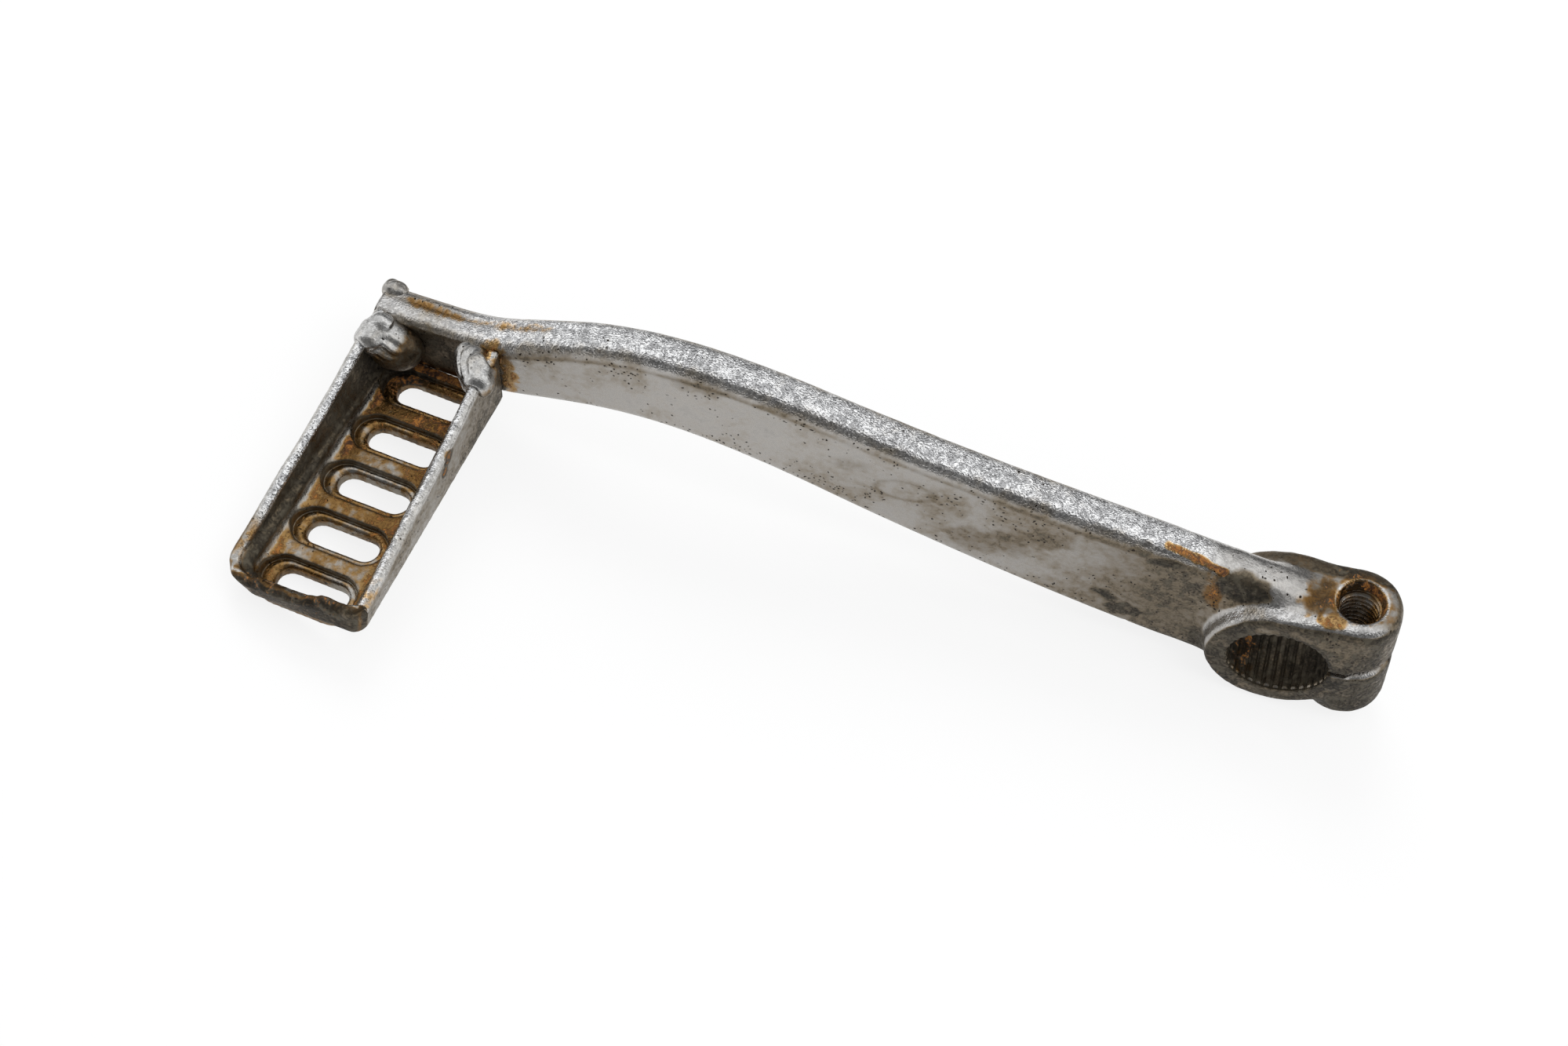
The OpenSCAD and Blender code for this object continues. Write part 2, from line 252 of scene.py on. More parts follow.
# %% Normals and smoothing as whole arrays
def quad_normals(points, quads):
    """Point normals: the sum of the normals of the quads round each point, made one long."""
    p = points[quads]
    flat = np.cross(p[:, 2] - p[:, 0], p[:, 3] - p[:, 1])
    corners = quads.ravel()
    sums = [np.bincount(corners, np.repeat(flat[:, k], 4), len(points)) for k in range(3)]
    total = np.stack(sums, 1)
    return total / np.maximum(np.linalg.norm(total, axis=1), 1e-9)[:, None]


def melted(points, quads, weight, rounds):
    """Moves each point towards the mean of its neighbours, weight / 2 of the way, rounds times."""
    a = quads.ravel()
    b = np.roll(quads, -1, axis=1).ravel()
    ends, others = np.concatenate([a, b]), np.concatenate([b, a])
    count = np.bincount(ends, minlength=len(points))
    for _ in range(rounds):
        sums = [np.bincount(ends, points[others, k], len(points)) for k in range(3)]
        mean = np.stack(sums, 1) / count[:, None]
        points = points + 0.5 * weight[:, None] * (mean - points)
    return points


# %% A copy of a solid, re-meshed evenly
def remeshed(node, voxel, keep=None):
    """Points in the clamp frame and quads of a solid, as even quads of side voxel (mm).

    keep is a plane (point, normal) in the clamp frame: only what lies on its side stays.
    """
    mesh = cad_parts[node].data.copy()
    places = np.empty(len(mesh.vertices) * 3)
    mesh.vertices.foreach_get("co", places)
    mesh.vertices.foreach_set("co", stood(places.reshape(-1, 3)).ravel())
    shape = bmesh.new()
    shape.from_mesh(mesh)
    bmesh.ops.remove_doubles(shape, verts=shape.verts, dist=0.0005)
    if keep is not None:
        geom = list(shape.verts) + list(shape.edges) + list(shape.faces)
        cut = bmesh.ops.bisect_plane(
            shape, geom=geom, plane_co=keep[0], plane_no=keep[1], clear_inner=True
        )
        edges = [e for e in cut["geom_cut"] if isinstance(e, bmesh.types.BMEdge)]
        bmesh.ops.holes_fill(shape, edges=edges, sides=0)
    shape.to_mesh(mesh)
    shape.free()
    work = bpy.data.objects.new(node + "_work", mesh)
    bpy.context.scene.collection.objects.link(work)
    even = work.modifiers.new("even quads", "REMESH")
    even.mode = "VOXEL"
    even.voxel_size = voxel
    done = work.evaluated_get(bpy.context.evaluated_depsgraph_get()).to_mesh()
    points = np.empty(len(done.vertices) * 3)
    done.vertices.foreach_get("co", points)
    corners = np.empty(len(done.loops), int)
    done.loops.foreach_get("vertex_index", corners)
    bpy.data.objects.remove(work)
    return points.reshape(-1, 3), corners.reshape(-1, 4)


# %% [markdown]
# ## The camera
# The photograph was taken with a long lens from above and in front of the pedal. Its place
# was worked out from the round holes, the slots and the straight edges, which fix how the
# three axes of the part lie in the picture.

# %% The camera
PHOTO_W = 1999
FOCAL_PX = 3500
CAMERA_AT = (-0.11149, -0.27152, 0.41933)
RIGHT = (0.94732, 0.25257, 0.19698)
DOWN = (0.31814, -0.81326, -0.48723)
AHEAD = (0.03714, 0.52423, -0.85077)

lens = bpy.data.cameras.new("camera")
lens.sensor_width = 36
lens.sensor_fit = "HORIZONTAL"
lens.lens = FOCAL_PX / PHOTO_W * 36
camera = bpy.data.objects.new("camera", lens)
turn = np.eye(4)
turn[:3, 0] = RIGHT
turn[:3, 1] = [-v for v in DOWN]
turn[:3, 2] = [-v for v in AHEAD]
turn[:3, 3] = CAMERA_AT
camera.matrix_world = Matrix(turn.tolist())
bpy.context.scene.collection.objects.link(camera)
bpy.context.scene.camera = camera
print("lens of", round(lens.lens, 1), "mm")

# %% [markdown]
# ## The arm
# The real arm is drop-forged flat bar: eight millimetres thick, deep at the eye, slimmer at
# the pad. It could be modelled by hand as a long box with loops, but a loft says exactly what
# it is: one rounded section, carried along a curve, with its depth and height as smooth
# functions of the distance from the eye.

# %% Curves through knots
def through(knots, d):
    """Cubic pieces through knots (distance, value, slope): value and slope match at each knot."""
    k = np.asarray(knots, float)
    i = np.clip(np.searchsorted(k[:, 0], d, side="right") - 1, 0, len(k) - 2)
    a, b = k[i], k[i + 1]
    span = b[:, 0] - a[:, 0]
    t = (d - a[:, 0]) / span
    start = (2 * t**3 - 3 * t**2 + 1) * a[:, 1] + (t**3 - 2 * t**2 + t) * span * a[:, 2]
    return start + (3 * t**2 - 2 * t**3) * b[:, 1] + (t**3 - t**2) * span * b[:, 2]


# the height of the arm's middle line, and its depth, as the solid has them
ARM_MIDDLE = [
    (-6, 0.7, 0), (0, 1.2, 0.28), (84, 29.4, 0.43),
    (124, 40.1, 0), (156, 36, -0.05), (ARM_END, 35.5, 0),
]
ARM_DEPTH = [
    (-6, 24.4, 0.7), (0, 28.2, 0), (84, 22.2, -0.1),
    (124, 17.8, -0.12), (156, 13.4, -0.03), (ARM_END, 12.9, 0),
]
BEND_LEN = 14
BEND_MID = PAD_AT + 0.6


def bend(d):
    """Sideways shift and turn of the arm's end, in plan.

    The turn grows as a smooth step over BEND_LEN, and the shift is that turn summed up.
    """
    u = (d - BEND_MID) / BEND_LEN + 0.5
    swept = np.where(u < 0, 0, np.where(u < 1, u**3 - u**4 / 2, u - 0.5))
    turned = np.where(u < 0, 0, np.where(u < 1, 3 * u**2 - 2 * u**3, 1))
    yaw = math.radians(PAD_YAW)
    return math.tan(yaw) * BEND_LEN * swept, yaw * turned


print("arm depth at the pad:", through(ARM_DEPTH, np.array([150.0])).round(2))

# %% The section: a rounded bar
def bar_section(corner_steps, face_steps, edge_steps):
    """Signs and normals of a rounded rectangle, once round, counter-clockwise.

    A point is (sign * (half side - radius) + radius * normal) on each axis. Corners turn the
    normal through a quarter circle, and flats slide the sign from one corner to the next.
    """
    sign, normal = [], []
    ends = [(1, 1), (-1, 1), (-1, -1), (1, -1)]
    for k, corner in enumerate(ends):
        turn = np.radians(90 * k + 90 * np.arange(corner_steps + 1) / corner_steps)
        sign += [corner] * len(turn)
        normal += np.stack([np.cos(turn), np.sin(turn)], 1).tolist()
        after = ends[(k + 1) % 4]
        steps = edge_steps if k % 2 == 0 else face_steps
        slide = (np.arange(1, steps) / steps)[:, None]
        sign += (np.array(corner) * (1 - slide) + np.array(after) * slide).tolist()
        normal += [[math.cos(turn[-1]), math.sin(turn[-1])]] * (steps - 1)
    return np.array(sign), np.array(normal)


RING_STEP = 0.45
LOFT_FROM = 27.0
sign, normal = bar_section(6, 40, 8)
distance = np.arange(LOFT_FROM, ARM_END, RING_STEP)
distance = np.append(distance, [ARM_END - 0.35, ARM_END - 0.12, ARM_END])
depth = through(ARM_DEPTH, distance)
height = through(ARM_MIDDLE, distance)
shift, turned = bend(distance)
drawn_in = np.where(distance > ARM_END - 0.1, 0.5, np.where(distance > ARM_END - 0.2, 0.15, 0.0))
drawn_in = drawn_in + 0.35 * (1 - smooth_step(LOFT_FROM, LOFT_FROM + 2.5, distance))

rounding = ARM_EDGE - drawn_in[:, None]
across = sign[None, :, 0] * (ARM_T / 2 - ARM_EDGE) + rounding * normal[None, :, 0]
up = sign[None, :, 1] * (depth[:, None] / 2 - ARM_EDGE) + rounding * normal[None, :, 1]
arm_points = np.stack([
    -distance[:, None] + across * np.sin(turned)[:, None],
    shift[:, None] + across * np.cos(turned)[:, None],
    height[:, None] + up,
], -1)
out = np.stack([
    normal[None, :, 0] * np.sin(turned)[:, None],
    normal[None, :, 0] * np.cos(turned)[:, None],
    normal[None, :, 1] + 0 * depth[:, None],
], -1)
rings, around = arm_points.shape[:2]
arm_points = arm_points.reshape(-1, 3)
out = out.reshape(-1, 3)
print("arm grid:", rings, "rings of", around)


# %% Its dents, and the ridge crowned along the top
FLASH_HIGH = 0.2
CROWN_HIGH = 0.45


def off_line(points):
    """How far a point lies to the side of the bar's middle line, in mm."""
    return points[:, 1] - bend(-points[:, 0])[0]


def forged_dents(points, out):
    """How far the forging's skin stands out, in mm: broad dents, and grain on the ridge.

    The crown is a parabola across the ridge. The flash lines at the tray's end are two bells.
    """
    back = -points[:, 0]
    ridge = smooth_step(0.45, 0.9, out[:, 2]) * smooth_step(4, 14, back)
    aside = off_line(points)
    wavy = aside + 0.25 * noise(points, 9, 91)
    lines = bell(wavy, 1.9, 0.5) - 0.8 * bell(wavy, 0.7, 0.45)
    lines = lines * smooth_step(122, 138, back) * (1 - smooth_step(162, 168, back))
    crown = np.clip(1 - (aside / (ARM_T / 2)) ** 2, 0, 1)
    grain = 0.05 * layered(points, 1.6, 8) + FLASH_HIGH * lines + CROWN_HIGH * crown
    return 0.06 * layered(points, 9, 3) + ridge * grain


# %% Where the arm is rusty, grimy and bright
STREAK_FROM = np.array([-22.6, -2.0, 21.9])
STREAK_TO = np.array([-12.3, -2.6, 18.3])
RING_AT = (-70.6, -4, 25.4)
RING_REACH = (5.2, 9, 2.9)
FACE_STAINS = {
    "cloud beside the ring": Mark(0.16, (-81, -4, 30.8), (5, 6, 3), 0.5),
    "long cloud at the hump": Mark(0.24, (-92.4, -4, 42.7), (7, 6, 2), 0.5),
    "cloud past the hump": Mark(0.22, (-106, -4, 45), (9, 6, 3), 0.5),
    "cloud near the eye": Mark(0.2, (-45, -4, 18.3), (8, 6, 4), 0.5),
    "wide cloud below it": Mark(0.2, (-55, -4, 14.7), (12, 6, 5), 0.5),
    "dark patch, low": Mark(0.6, (-33.4, -4, 5.4), (3, 6, 2.4), 0.9),
    "dark patch, lower": Mark(0.7, (-29.4, -4, 1.4), (3.4, 6, 1.8), 0.9),
    "smudge beside the streak": Mark(0.35, (-22.5, -4, 19.2), (3.4, 4, 1.8), 0.8),
}
ARM_RUST = {
    "run below the streak": Mark(0.5, (-14, -4, 13.4), (2.4, 4, 6.4), 0.4),
    "spot on the ridge": Mark(0.5, (-26.5, -4, 25.2), (3, 2, 1.6), 0.5),
    "bloom beside the weld": Mark(0.7, (-143.8, -4, 35.6), (2.4, 4, 7), 0.5),
    "bloom above the weld": Mark(0.6, (-146, -3.4, 42), (3.4, 2.6, 3), 0.5),
    "run along the seat": Mark(0.45, (-150, -4, 38.5), (6, 3, 2.4), 0.5),
}


def rust_streak(points):
    """The orange streak under the ridge's end: 1 along a line, 0 from about 1.3 mm off it."""
    along = STREAK_TO - STREAK_FROM
    share = np.clip((points - STREAK_FROM) @ along / (along @ along), 0, 1)
    off = np.linalg.norm(points - STREAK_FROM - share[:, None] * along, axis=1)
    return 1 - smooth_step(0.4, 1.3 - 0.3 * share, off + 0.35 * noise(points, 1.6, 95))


def arm_masks(points, out):
    """Rust, grime with painted shade, bright with painted highlights, and pits on the arm, by place
    along and round the bar.
    """
    back = -points[:, 0]
    front = smooth_step(0.55, 0.9, -out[:, 1])
    ridge = smooth_step(0.3, 0.75, out[:, 2])
    under = smooth_step(0.5, 0.9, -out[:, 2])
    depth_here = through(ARM_DEPTH, back)
    from_top = through(ARM_MIDDLE, back) + depth_here / 2 - points[:, 2]
    from_low = depth_here - from_top

    # the film on the faces: clouds, a painted dark reflection just under the ridge's rounding,
    # and a ring left by a drop
    shade = bell(from_top, 2.6, 0.5) * smooth_step(-0.3, 0.5, noise(points, 17, 52) + 0.3)
    ring_d = np.linalg.norm((points - RING_AT) / RING_REACH, axis=1) + 0.12 * noise(points, 2.6, 53)
    film_and_shade = 0.2 + 0.12 * layered(points * [0.5, 1, 1], 11, 51) + 0.3 * shade
    film_and_shade += 0.16 * bell(ring_d, 1, 0.13) + marks(points, FACE_STAINS)
    film_and_shade += 0.1 * smooth_step(110, 140, back) + 0.14 * smooth_step(100, 55, back)
    film_and_shade += 0.4 * smooth_step(50, 14, back)
    seat = smooth_step(145.6, 150.5, back)
    film_and_shade = (film_and_shade + 0.44 * seat * front) * (1 - ridge)
    # darker on the back and on the underside
    film_and_shade += 0.25 * smooth_step(0.3, 0.8, out[:, 1]) + 0.35 * under

    # rust in the ridge's groove, in the streak, at the tray's seat and on the back
    aside = off_line(points)
    groove = bell(aside, 0.7, 0.9) * smooth_step(132, 144, back) * ridge
    rust = 0.38 * groove * (1 - smooth_step(163, 168, back))
    rust += 0.85 * rust_streak(points) + marks(points, ARM_RUST)
    rust += 0.6 * bell(from_low, 1.4, 1.1) * smooth_step(146, 150, back) * front
    rust += 0.25 * smooth_step(0.2, 0.7, out[:, 1]) * smooth_step(125, 150, back)

    # the ridge: a painted highlight band, bright in the middle and painted darker at its edges;
    # duller at the tray
    ridge_edge = ridge * smooth_step(1.7, 3.3, np.abs(aside + 0.5 * noise(points, 1.2, 98)))
    worn_end = smooth_step(143, 158, back)
    film_and_shade += 0.35 * groove + 0.16 * ridge * worn_end + 0.3 * ridge_edge
    bright = 0.9 * (ridge - 0.4 * ridge_edge) * (1 - 0.5 * worn_end)
    bright += 0.1 * (1 - ridge) * (1 - front)
    pitted = front * (bell(from_low, 0, 3.5) + 0.5 * bell(from_top, 3, 2))
    pits = (0.25 + 0.65 * pitted) * (1 - ridge)
    return {"rust": rust, "grime": film_and_shade, "bright": bright, "pits": pits}


# %% The arm's loft becomes a piece, flat where the tray sits on it
arm_points = arm_points + out * forged_dents(arm_points, out)[:, None]
on_pad = pad_corner(arm_points)
at_seat = (on_pad[:, 0] < 1) & (on_pad[:, 1] < 1)
on_pad[at_seat, 1] = np.maximum(on_pad[at_seat, 1], 0.01)
arm_points = np.where(at_seat[:, None], from_pad(on_pad), arm_points)
arm_look = arm_masks(arm_points, out)
arm_faces = grid_faces(rings, around)
make_piece("arm_forging", arm_points, arm_faces, arm_look, "pedal_arm")

# %% [markdown]
# ## The clamp eye
# The eye was bored, broached with serrations and sawn open, then squeezed by a pinch bolt.
# Holes that cross one another are awkward on a grid, and the CAD solid already has them all,
# so this piece is a re-meshed copy of the solid, cut off where the arm's loft takes over.
# There its skin dives under the loft, so no seam shows. A forging has no sharp inner corners,
# so the ridge's end, the web and the hollow sweep get more smoothing than the rest.

# %% The clamp eye from the solid
CUT_AT = 31.0
eye_points, eye_quads = remeshed("pedal_arm", 0.27, keep=((-CUT_AT, 0, 0), (1, 0, 0)))
back = -eye_points[:, 0]
from_axis = np.hypot(eye_points[:, 0], eye_points[:, 2])
from_bolt = np.hypot(eye_points[:, 0] - BOLT_X, eye_points[:, 1])
eye_points = melted(eye_points, eye_quads, np.ones(len(eye_points)), 3)
ridge_end = near(eye_points, (1, 0, 15), (11, 6.5, 3.2), ragged=0)
web = smooth_step(BORE_R + 2.2, BORE_R + 3.4, from_axis) * smooth_step(-8, 0, eye_points[:, 0])
web = web * smooth_step(1.6, 3, np.abs(eye_points[:, 2])) * smooth_step(5.4, 6.4, from_bolt)
sweep = smooth_step(BORE_R + 3.4, BORE_R + 4.6, from_axis) * (1 - smooth_step(19, 23, back))
soft_spots = np.clip(ridge_end + web + 0.8 * sweep, 0, 1)
eye_points = melted(eye_points, eye_quads, soft_spots, 60)
eye_out = quad_normals(eye_points, eye_quads)
print("eye box:", eye_points.min(0).round(1), eye_points.max(0).round(1))

# %% The two holes widened, to make room for the sleeves that line them
def widened(points, axis, middle, radius, where):
    """Pushes points away from a hole's axis out to a radius, by the share in where."""
    from_middle = points - middle
    from_middle[:, axis] = 0
    r = np.maximum(np.linalg.norm(from_middle, axis=1), 1e-6)
    push = where * np.maximum(radius - r, 0)
    return points + from_middle / r[:, None] * push[:, None]


BORE_ROOM_R = BORE_R + 0.75
THREAD_ROOM_R = 4.35
THREAD_LOW = SLIT_W / 2 + 0.25
THREAD_HIGH = LUG_TOP - COUNTERBORE_DEEP + 0.05

in_slit = (1 - smooth_step(0.9, 1.4, np.abs(eye_points[:, 2]))) * (eye_points[:, 0] > 0)
deep_in_bore = (1 - smooth_step(7.5, 7.85, np.abs(eye_points[:, 1]))) * (1 - in_slit)
eye_points = widened(eye_points, 1, (0, 0, 0), BORE_ROOM_R, deep_in_bore)
z = eye_points[:, 2]
past_thread = np.maximum(THREAD_LOW + 0.2 - z, z - THREAD_HIGH + 0.1)
beside_thread = 1 - smooth_step(0, 0.25, past_thread)
eye_points = widened(eye_points, 2, (BOLT_X, 0, 0), THREAD_ROOM_R, beside_thread)
from_axis = np.hypot(eye_points[:, 0], eye_points[:, 2])
from_bolt = np.hypot(eye_points[:, 0] - BOLT_X, eye_points[:, 1])

# %% Its skin: one with the arm's, then worn and pitted towards the eye
on_arm = smooth_step(12, 19, back)
skin = smooth_step(BORE_R + 0.9, BORE_R + 1.6, from_axis) * smooth_step(4.6, 5.4, from_bolt)
rough = 0.1 * layered(eye_points, 6, 5) + 0.07 * layered(eye_points, 1.5, 6)
dents = on_arm * forged_dents(eye_points, eye_out) + (1 - on_arm) * skin * rough
dive = 0.4 * smooth_step(LOFT_FROM + 0.6, CUT_AT, back)
eye_points = eye_points + eye_out * (dents - dive)[:, None]

# %% The eye's regions, each a number from 0 to 1 on every point
x, y, z = eye_points.T
out_x, out_y, out_z = eye_out.T
in_bore = 1 - smooth_step(BORE_R + 0.35, BORE_R + 0.9, from_axis)
in_bolt = (1 - smooth_step(4.3, 4.8, from_bolt)) * (np.abs(z) < 16)
top_skin = smooth_step(0.5, 0.9, out_z)
front_skin = smooth_step(0.6, 0.9, -out_y)
back_side = smooth_step(3.6, 4.8, y)
barrel = back_side * (1 - smooth_step(14, 17, back))
low_rim = smooth_step(11.6, 13.4, from_axis) * smooth_step(3, -3, z) * smooth_step(8, 3, x)
low_rim = low_rim * (1 - smooth_step(15.5, 18, back))
# brow: a painted shadow line along the top of the ring round the bore
brow_z = 12.4 - 0.011 * np.minimum(x - 4, 0) ** 2
brow = bell(z, brow_z, 0.6) * smooth_step(0.4, 0.8, -out_y) * smooth_step(-12, -7, x)
end_side = smooth_step(0.3, 0.9, out_x) * smooth_step(15, 18, x)
patch_left = near(eye_points, (4.8, -1.6, 13.7), (4.4, 4.6, 4), 0.7)
patch_front = near(eye_points, (8, -5.2, 13.4), (3.2, 2.2, 3), 0.6)
stain = near(eye_points, (-9.2, -3.8, 16), (6.2, 4, 4), 0.3)
bolt_rim = (1 - smooth_step(4.9, 6.2, from_bolt)) * top_skin * (1 - in_bolt)
# lit_edge: a painted highlight along the front top edge; rim_glint: a painted glint on the bolt hole's
# rim
lit_edge = bell(y, -6.3, 1.5) * smooth_step(0.25, 0.7, out_z) * (1 - patch_front)
rim_glint = bell(from_bolt, 4.75, 0.28) * smooth_step(0.2, 0.6, out_z) * (z > 9)
ring_soot = smooth_step(-0.1, 0.5, noise(eye_points, 3.4, 97)) * smooth_step(2, 5, np.abs(z))
ring_soot = ring_soot * front_skin * smooth_step(5, -3, x)
ring_left = front_skin * smooth_step(-5, -9, x) * (1 - smooth_step(13.4, 15.4, from_axis))

# %% The eye's rust: in the holes, in patches round the bolt, and on the barrel
eye_rust = 0.5 * in_bolt + 0.1 * in_bore + 0.27 * bolt_rim + 0.2 * barrel + 0.3 * low_rim
eye_rust += 0.42 * patch_left + 0.75 * patch_front + 0.05 * (1 - top_skin) * (1 - back_side)
eye_rust += 0.2 * top_skin * smooth_step(-2, 4, x) * smooth_step(-5.5, -2, y)
eye_rust += 0.4 * in_bolt * smooth_step(BOLT_X - 1, BOLT_X + 2, x) * (z > 9)
run_below = ARM_RUST["run below the streak"]
eye_rust += 0.85 * rust_streak(eye_points) + marks(eye_points, {"run": run_below})
eye_rust = eye_rust * (1 - 0.6 * rim_glint) + 0.16 * ring_left

# %% Its grime and painted shade, its bright edges as painted highlights, and its pits
eye_grime_and_shade = 0.95 * in_bore + 0.3 * in_bolt + 0.72 * barrel + 1.5 * low_rim + 0.85 * brow
eye_grime_and_shade += 0.5 * patch_left + 0.95 * stain + 0.85 * end_side
eye_grime_and_shade += (0.55 + 0.3 * smooth_step(-6, 4, x)) * front_skin
eye_grime_and_shade += 0.45 * top_skin * smooth_step(0, 5, x) * smooth_step(-6, -3.5, y)
eye_grime_and_shade += 0.3 * smooth_step(-1, -4, z) * (1 - low_rim)
eye_grime_and_shade = eye_grime_and_shade * (1 - 0.8 * lit_edge) + 0.45 * ring_soot
eye_grime_and_shade += 0.4 * near(eye_points, (-5.5, -6.8, 12.2), (6, 2.4, 2.6))
eye_grime_and_shade = eye_grime_and_shade * (1 - 0.75 * rim_glint) + 0.45 * ring_left
# bright: painted highlights on the lit front edge and the bolt hole's rim, and a little on the top
eye_bright = 0.03 + 0.4 * lit_edge + 0.45 * rim_glint
eye_bright += 0.15 * top_skin * (1 - back_side) * smooth_step(4, -6, x)
eye_pits = 0.3 + 0.5 * front_skin - 0.2 * lit_edge

# %% From the eye's own masks to the arm's, and the finished eye
shared = arm_masks(eye_points, eye_out)
own = {"rust": eye_rust, "grime": eye_grime_and_shade, "bright": eye_bright, "pits": eye_pits}
eye_look = {k: on_arm * shared[k] + (1 - on_arm) * own[k] for k in own}
make_piece("clamp_eye", eye_points, eye_quads.tolist(), eye_look, "pedal_arm")

# %% [markdown]
# Re-meshing blurs what is finer than its quads, so the serrations and the thread are made
# again as thin sleeves that line the two holes. A sleeve is a closed profile carried round an
# axis. The serrations are a sleeve whose radius steps with the angle. The thread is one whose
# radius follows a saw-tooth that climbs one pitch a turn, which makes it a true helix.

# %% The serrated lining of the bore
def serration_radius(angle):
    """Bore radius at an angle: flat tips at BORE_R, with vee grooves SERRATION_DEEP deep between.

    The groove's middle is at each whole pitch, and its mouth takes 1 - TIP_SHARE of the pitch.
    """
    phase = np.abs((angle / (2 * np.pi) * SERRATIONS + 0.5) % 1 - 0.5) * 2
    return BORE_R + SERRATION_DEEP * np.clip(1 - phase / (1 - TIP_SHARE), 0, 1)


def round_bore(radius, angle, place):
    """Grids of radius, angle and place along the bore, as points."""
    return np.stack([radius * np.cos(angle), place, radius * np.sin(angle)], -1).reshape(-1, 3)


slit_half = math.asin((SLIT_W / 2 + 0.03) / BORE_R)
angles = np.linspace(slit_half, 2 * np.pi - slit_half, SERRATIONS * 14)
places = np.concatenate([[-7.72, -7.6], np.linspace(-7.2, 7.2, 30), [7.6, 7.72]])
relief = np.concatenate([[0.42, 0.16], np.zeros(30), [0.16, 0.42]])
angle_grid, place_grid = np.meshgrid(angles, places, indexing="ij")
inner_r = serration_radius(angle_grid) + relief[None, :]
wear = noise(round_bore(inner_r, angle_grid, place_grid), 1.2, 61)
inner_r = inner_r + 0.05 * wear.reshape(inner_r.shape)
outer_r = np.full((len(angles), 2), BORE_R + 1.0)
radius = np.concatenate([inner_r, outer_r], 1)
place = np.concatenate([place_grid, np.tile([places[-1], places[0]], (len(angles), 1))], 1)
turn = np.concatenate([angle_grid, angle_grid[:, :2]], 1)
lining = round_bore(radius, turn, place)
groove = smooth_step(BORE_R + 0.1, BORE_R + 0.4, np.hypot(lining[:, 0], lining[:, 2]))
mouth = smooth_step(6.6, 7.6, np.abs(lining[:, 1]))
streaks = noise(lining * [1, 0.2, 1], 1.4, 63)
BORE_RUST = {
    "low and left": Mark(0.5, (-6, -3, -7), (5, 6, 5), 0.7),
    "high and left": Mark(0.3, (-4, 0, 8), (4, 6, 4), 0.7),
}
lining_look = {
    "rust": marks(lining, BORE_RUST),
    "grime": 0.95 + 0.3 * groove - 0.5 * mouth * (1 - groove) - 0.12 * streaks,
    "bright": 0.15 * mouth,
    "pits": 0 * groove,
}
lining_faces = grid_faces(*radius.shape)
make_piece("bore_serrations", lining, lining_faces, lining_look, "pedal_arm")


# %% The thread in the upper lug
def thread_radius(angle, z):
    """Core radius with a vee thread: 0.62 mm deep, climbing THREAD_PITCH a turn."""
    phase = (z / THREAD_PITCH - angle / (2 * np.pi)) % 1
    return THREAD_R + 0.62 * np.clip(1.25 * np.abs(2 * phase - 1) - 0.1, 0, 1)


TURN_STEPS = 72
levels = np.linspace(THREAD_LOW, THREAD_HIGH, 84)
turns = np.arange(TURN_STEPS) / TURN_STEPS * 2 * np.pi
angle_grid, level_grid = np.meshgrid(turns, levels, indexing="ij")
inner_r = thread_radius(angle_grid, level_grid)
inner_r = inner_r + 0.5 * smooth_step(THREAD_HIGH - 0.7, THREAD_HIGH, level_grid)
radius = np.concatenate([inner_r, np.full((TURN_STEPS, 2), COUNTERBORE_R + 0.35)], 1)
level = np.concatenate([level_grid, np.tile([THREAD_HIGH, THREAD_LOW], (TURN_STEPS, 1))], 1)
turn = np.concatenate([angle_grid, angle_grid[:, :2]], 1)
thread = np.stack([BOLT_X + radius * np.cos(turn), radius * np.sin(turn), level], -1)
thread = thread.reshape(-1, 3)
from_core = np.hypot(thread[:, 0] - BOLT_X, thread[:, 1]) - THREAD_R
crest = 1 - smooth_step(0.05, 0.3, from_core)
deep = 1 - smooth_step(4, THREAD_HIGH, thread[:, 2])
thread_look = {
    "rust": 0.3 + 0.3 * smooth_step(BOLT_X + 1, BOLT_X + 3, thread[:, 0]),
    "grime": 0.55 - 0.5 * crest + 0.3 * deep,
    "bright": 0.3 * crest,
    "pits": 0.5 + 0 * crest,
}
thread_faces = looped_faces(*radius.shape)
make_piece("bolt_thread", thread, thread_faces, thread_look, "pedal_arm")

# %% [markdown]
# ## The foot tray
# The tray is pressed and slotted plate with a flared rim. It, too, is a re-meshed copy of its
# solid, with its edges worn round. The ledges round the slots are crowned, as pressing leaves
# them, and the end wall, which takes the knocks, is bent in, notched and ragged on top.

# %% The foot tray from the solid
def slot_distance(x, y, length, width, centre_x):
    """Distance from the nearest slot's middle line, less half its width: 0 on its edge."""
    nearest = np.clip(np.round((-y - SLOT_FIRST) / SLOT_PITCH), 0, 4)
    along = np.maximum(np.abs(x - centre_x) - (length - width) / 2, 0)
    return np.hypot(along, y + SLOT_FIRST + nearest * SLOT_PITCH) - width / 2


tray_points, tray_quads = remeshed("foot_pad", 0.27)
tray_points = melted(tray_points, tray_quads, np.ones(len(tray_points)), 4)
tray_out = quad_normals(tray_points, tray_quads)
tray = pad_corner(tray_points)
v = -tray[:, 1]
share = v / PAD_LEN
wall_top = WALL_H_ARM + (WALL_H_END - WALL_H_ARM) * share
rise = np.clip(tray[:, 2] / wall_top, 0, 1)
left_face = -PAD_W - (LEAN_ARM + (LEAN_END - LEAN_ARM) * share) * rise
right_face = PAD_FLARE * share + LEAN_FRONT * rise
end_face = -PAD_LEN - LEAN_FRONT * rise
from_wall = np.minimum(tray[:, 0] - left_face, right_face - tray[:, 0])
from_wall = np.minimum(from_wall, tray[:, 1] - end_face)
inside = smooth_step(0.9, 1.4, from_wall) * smooth_step(0.2, 0.5, tray[:, 2])
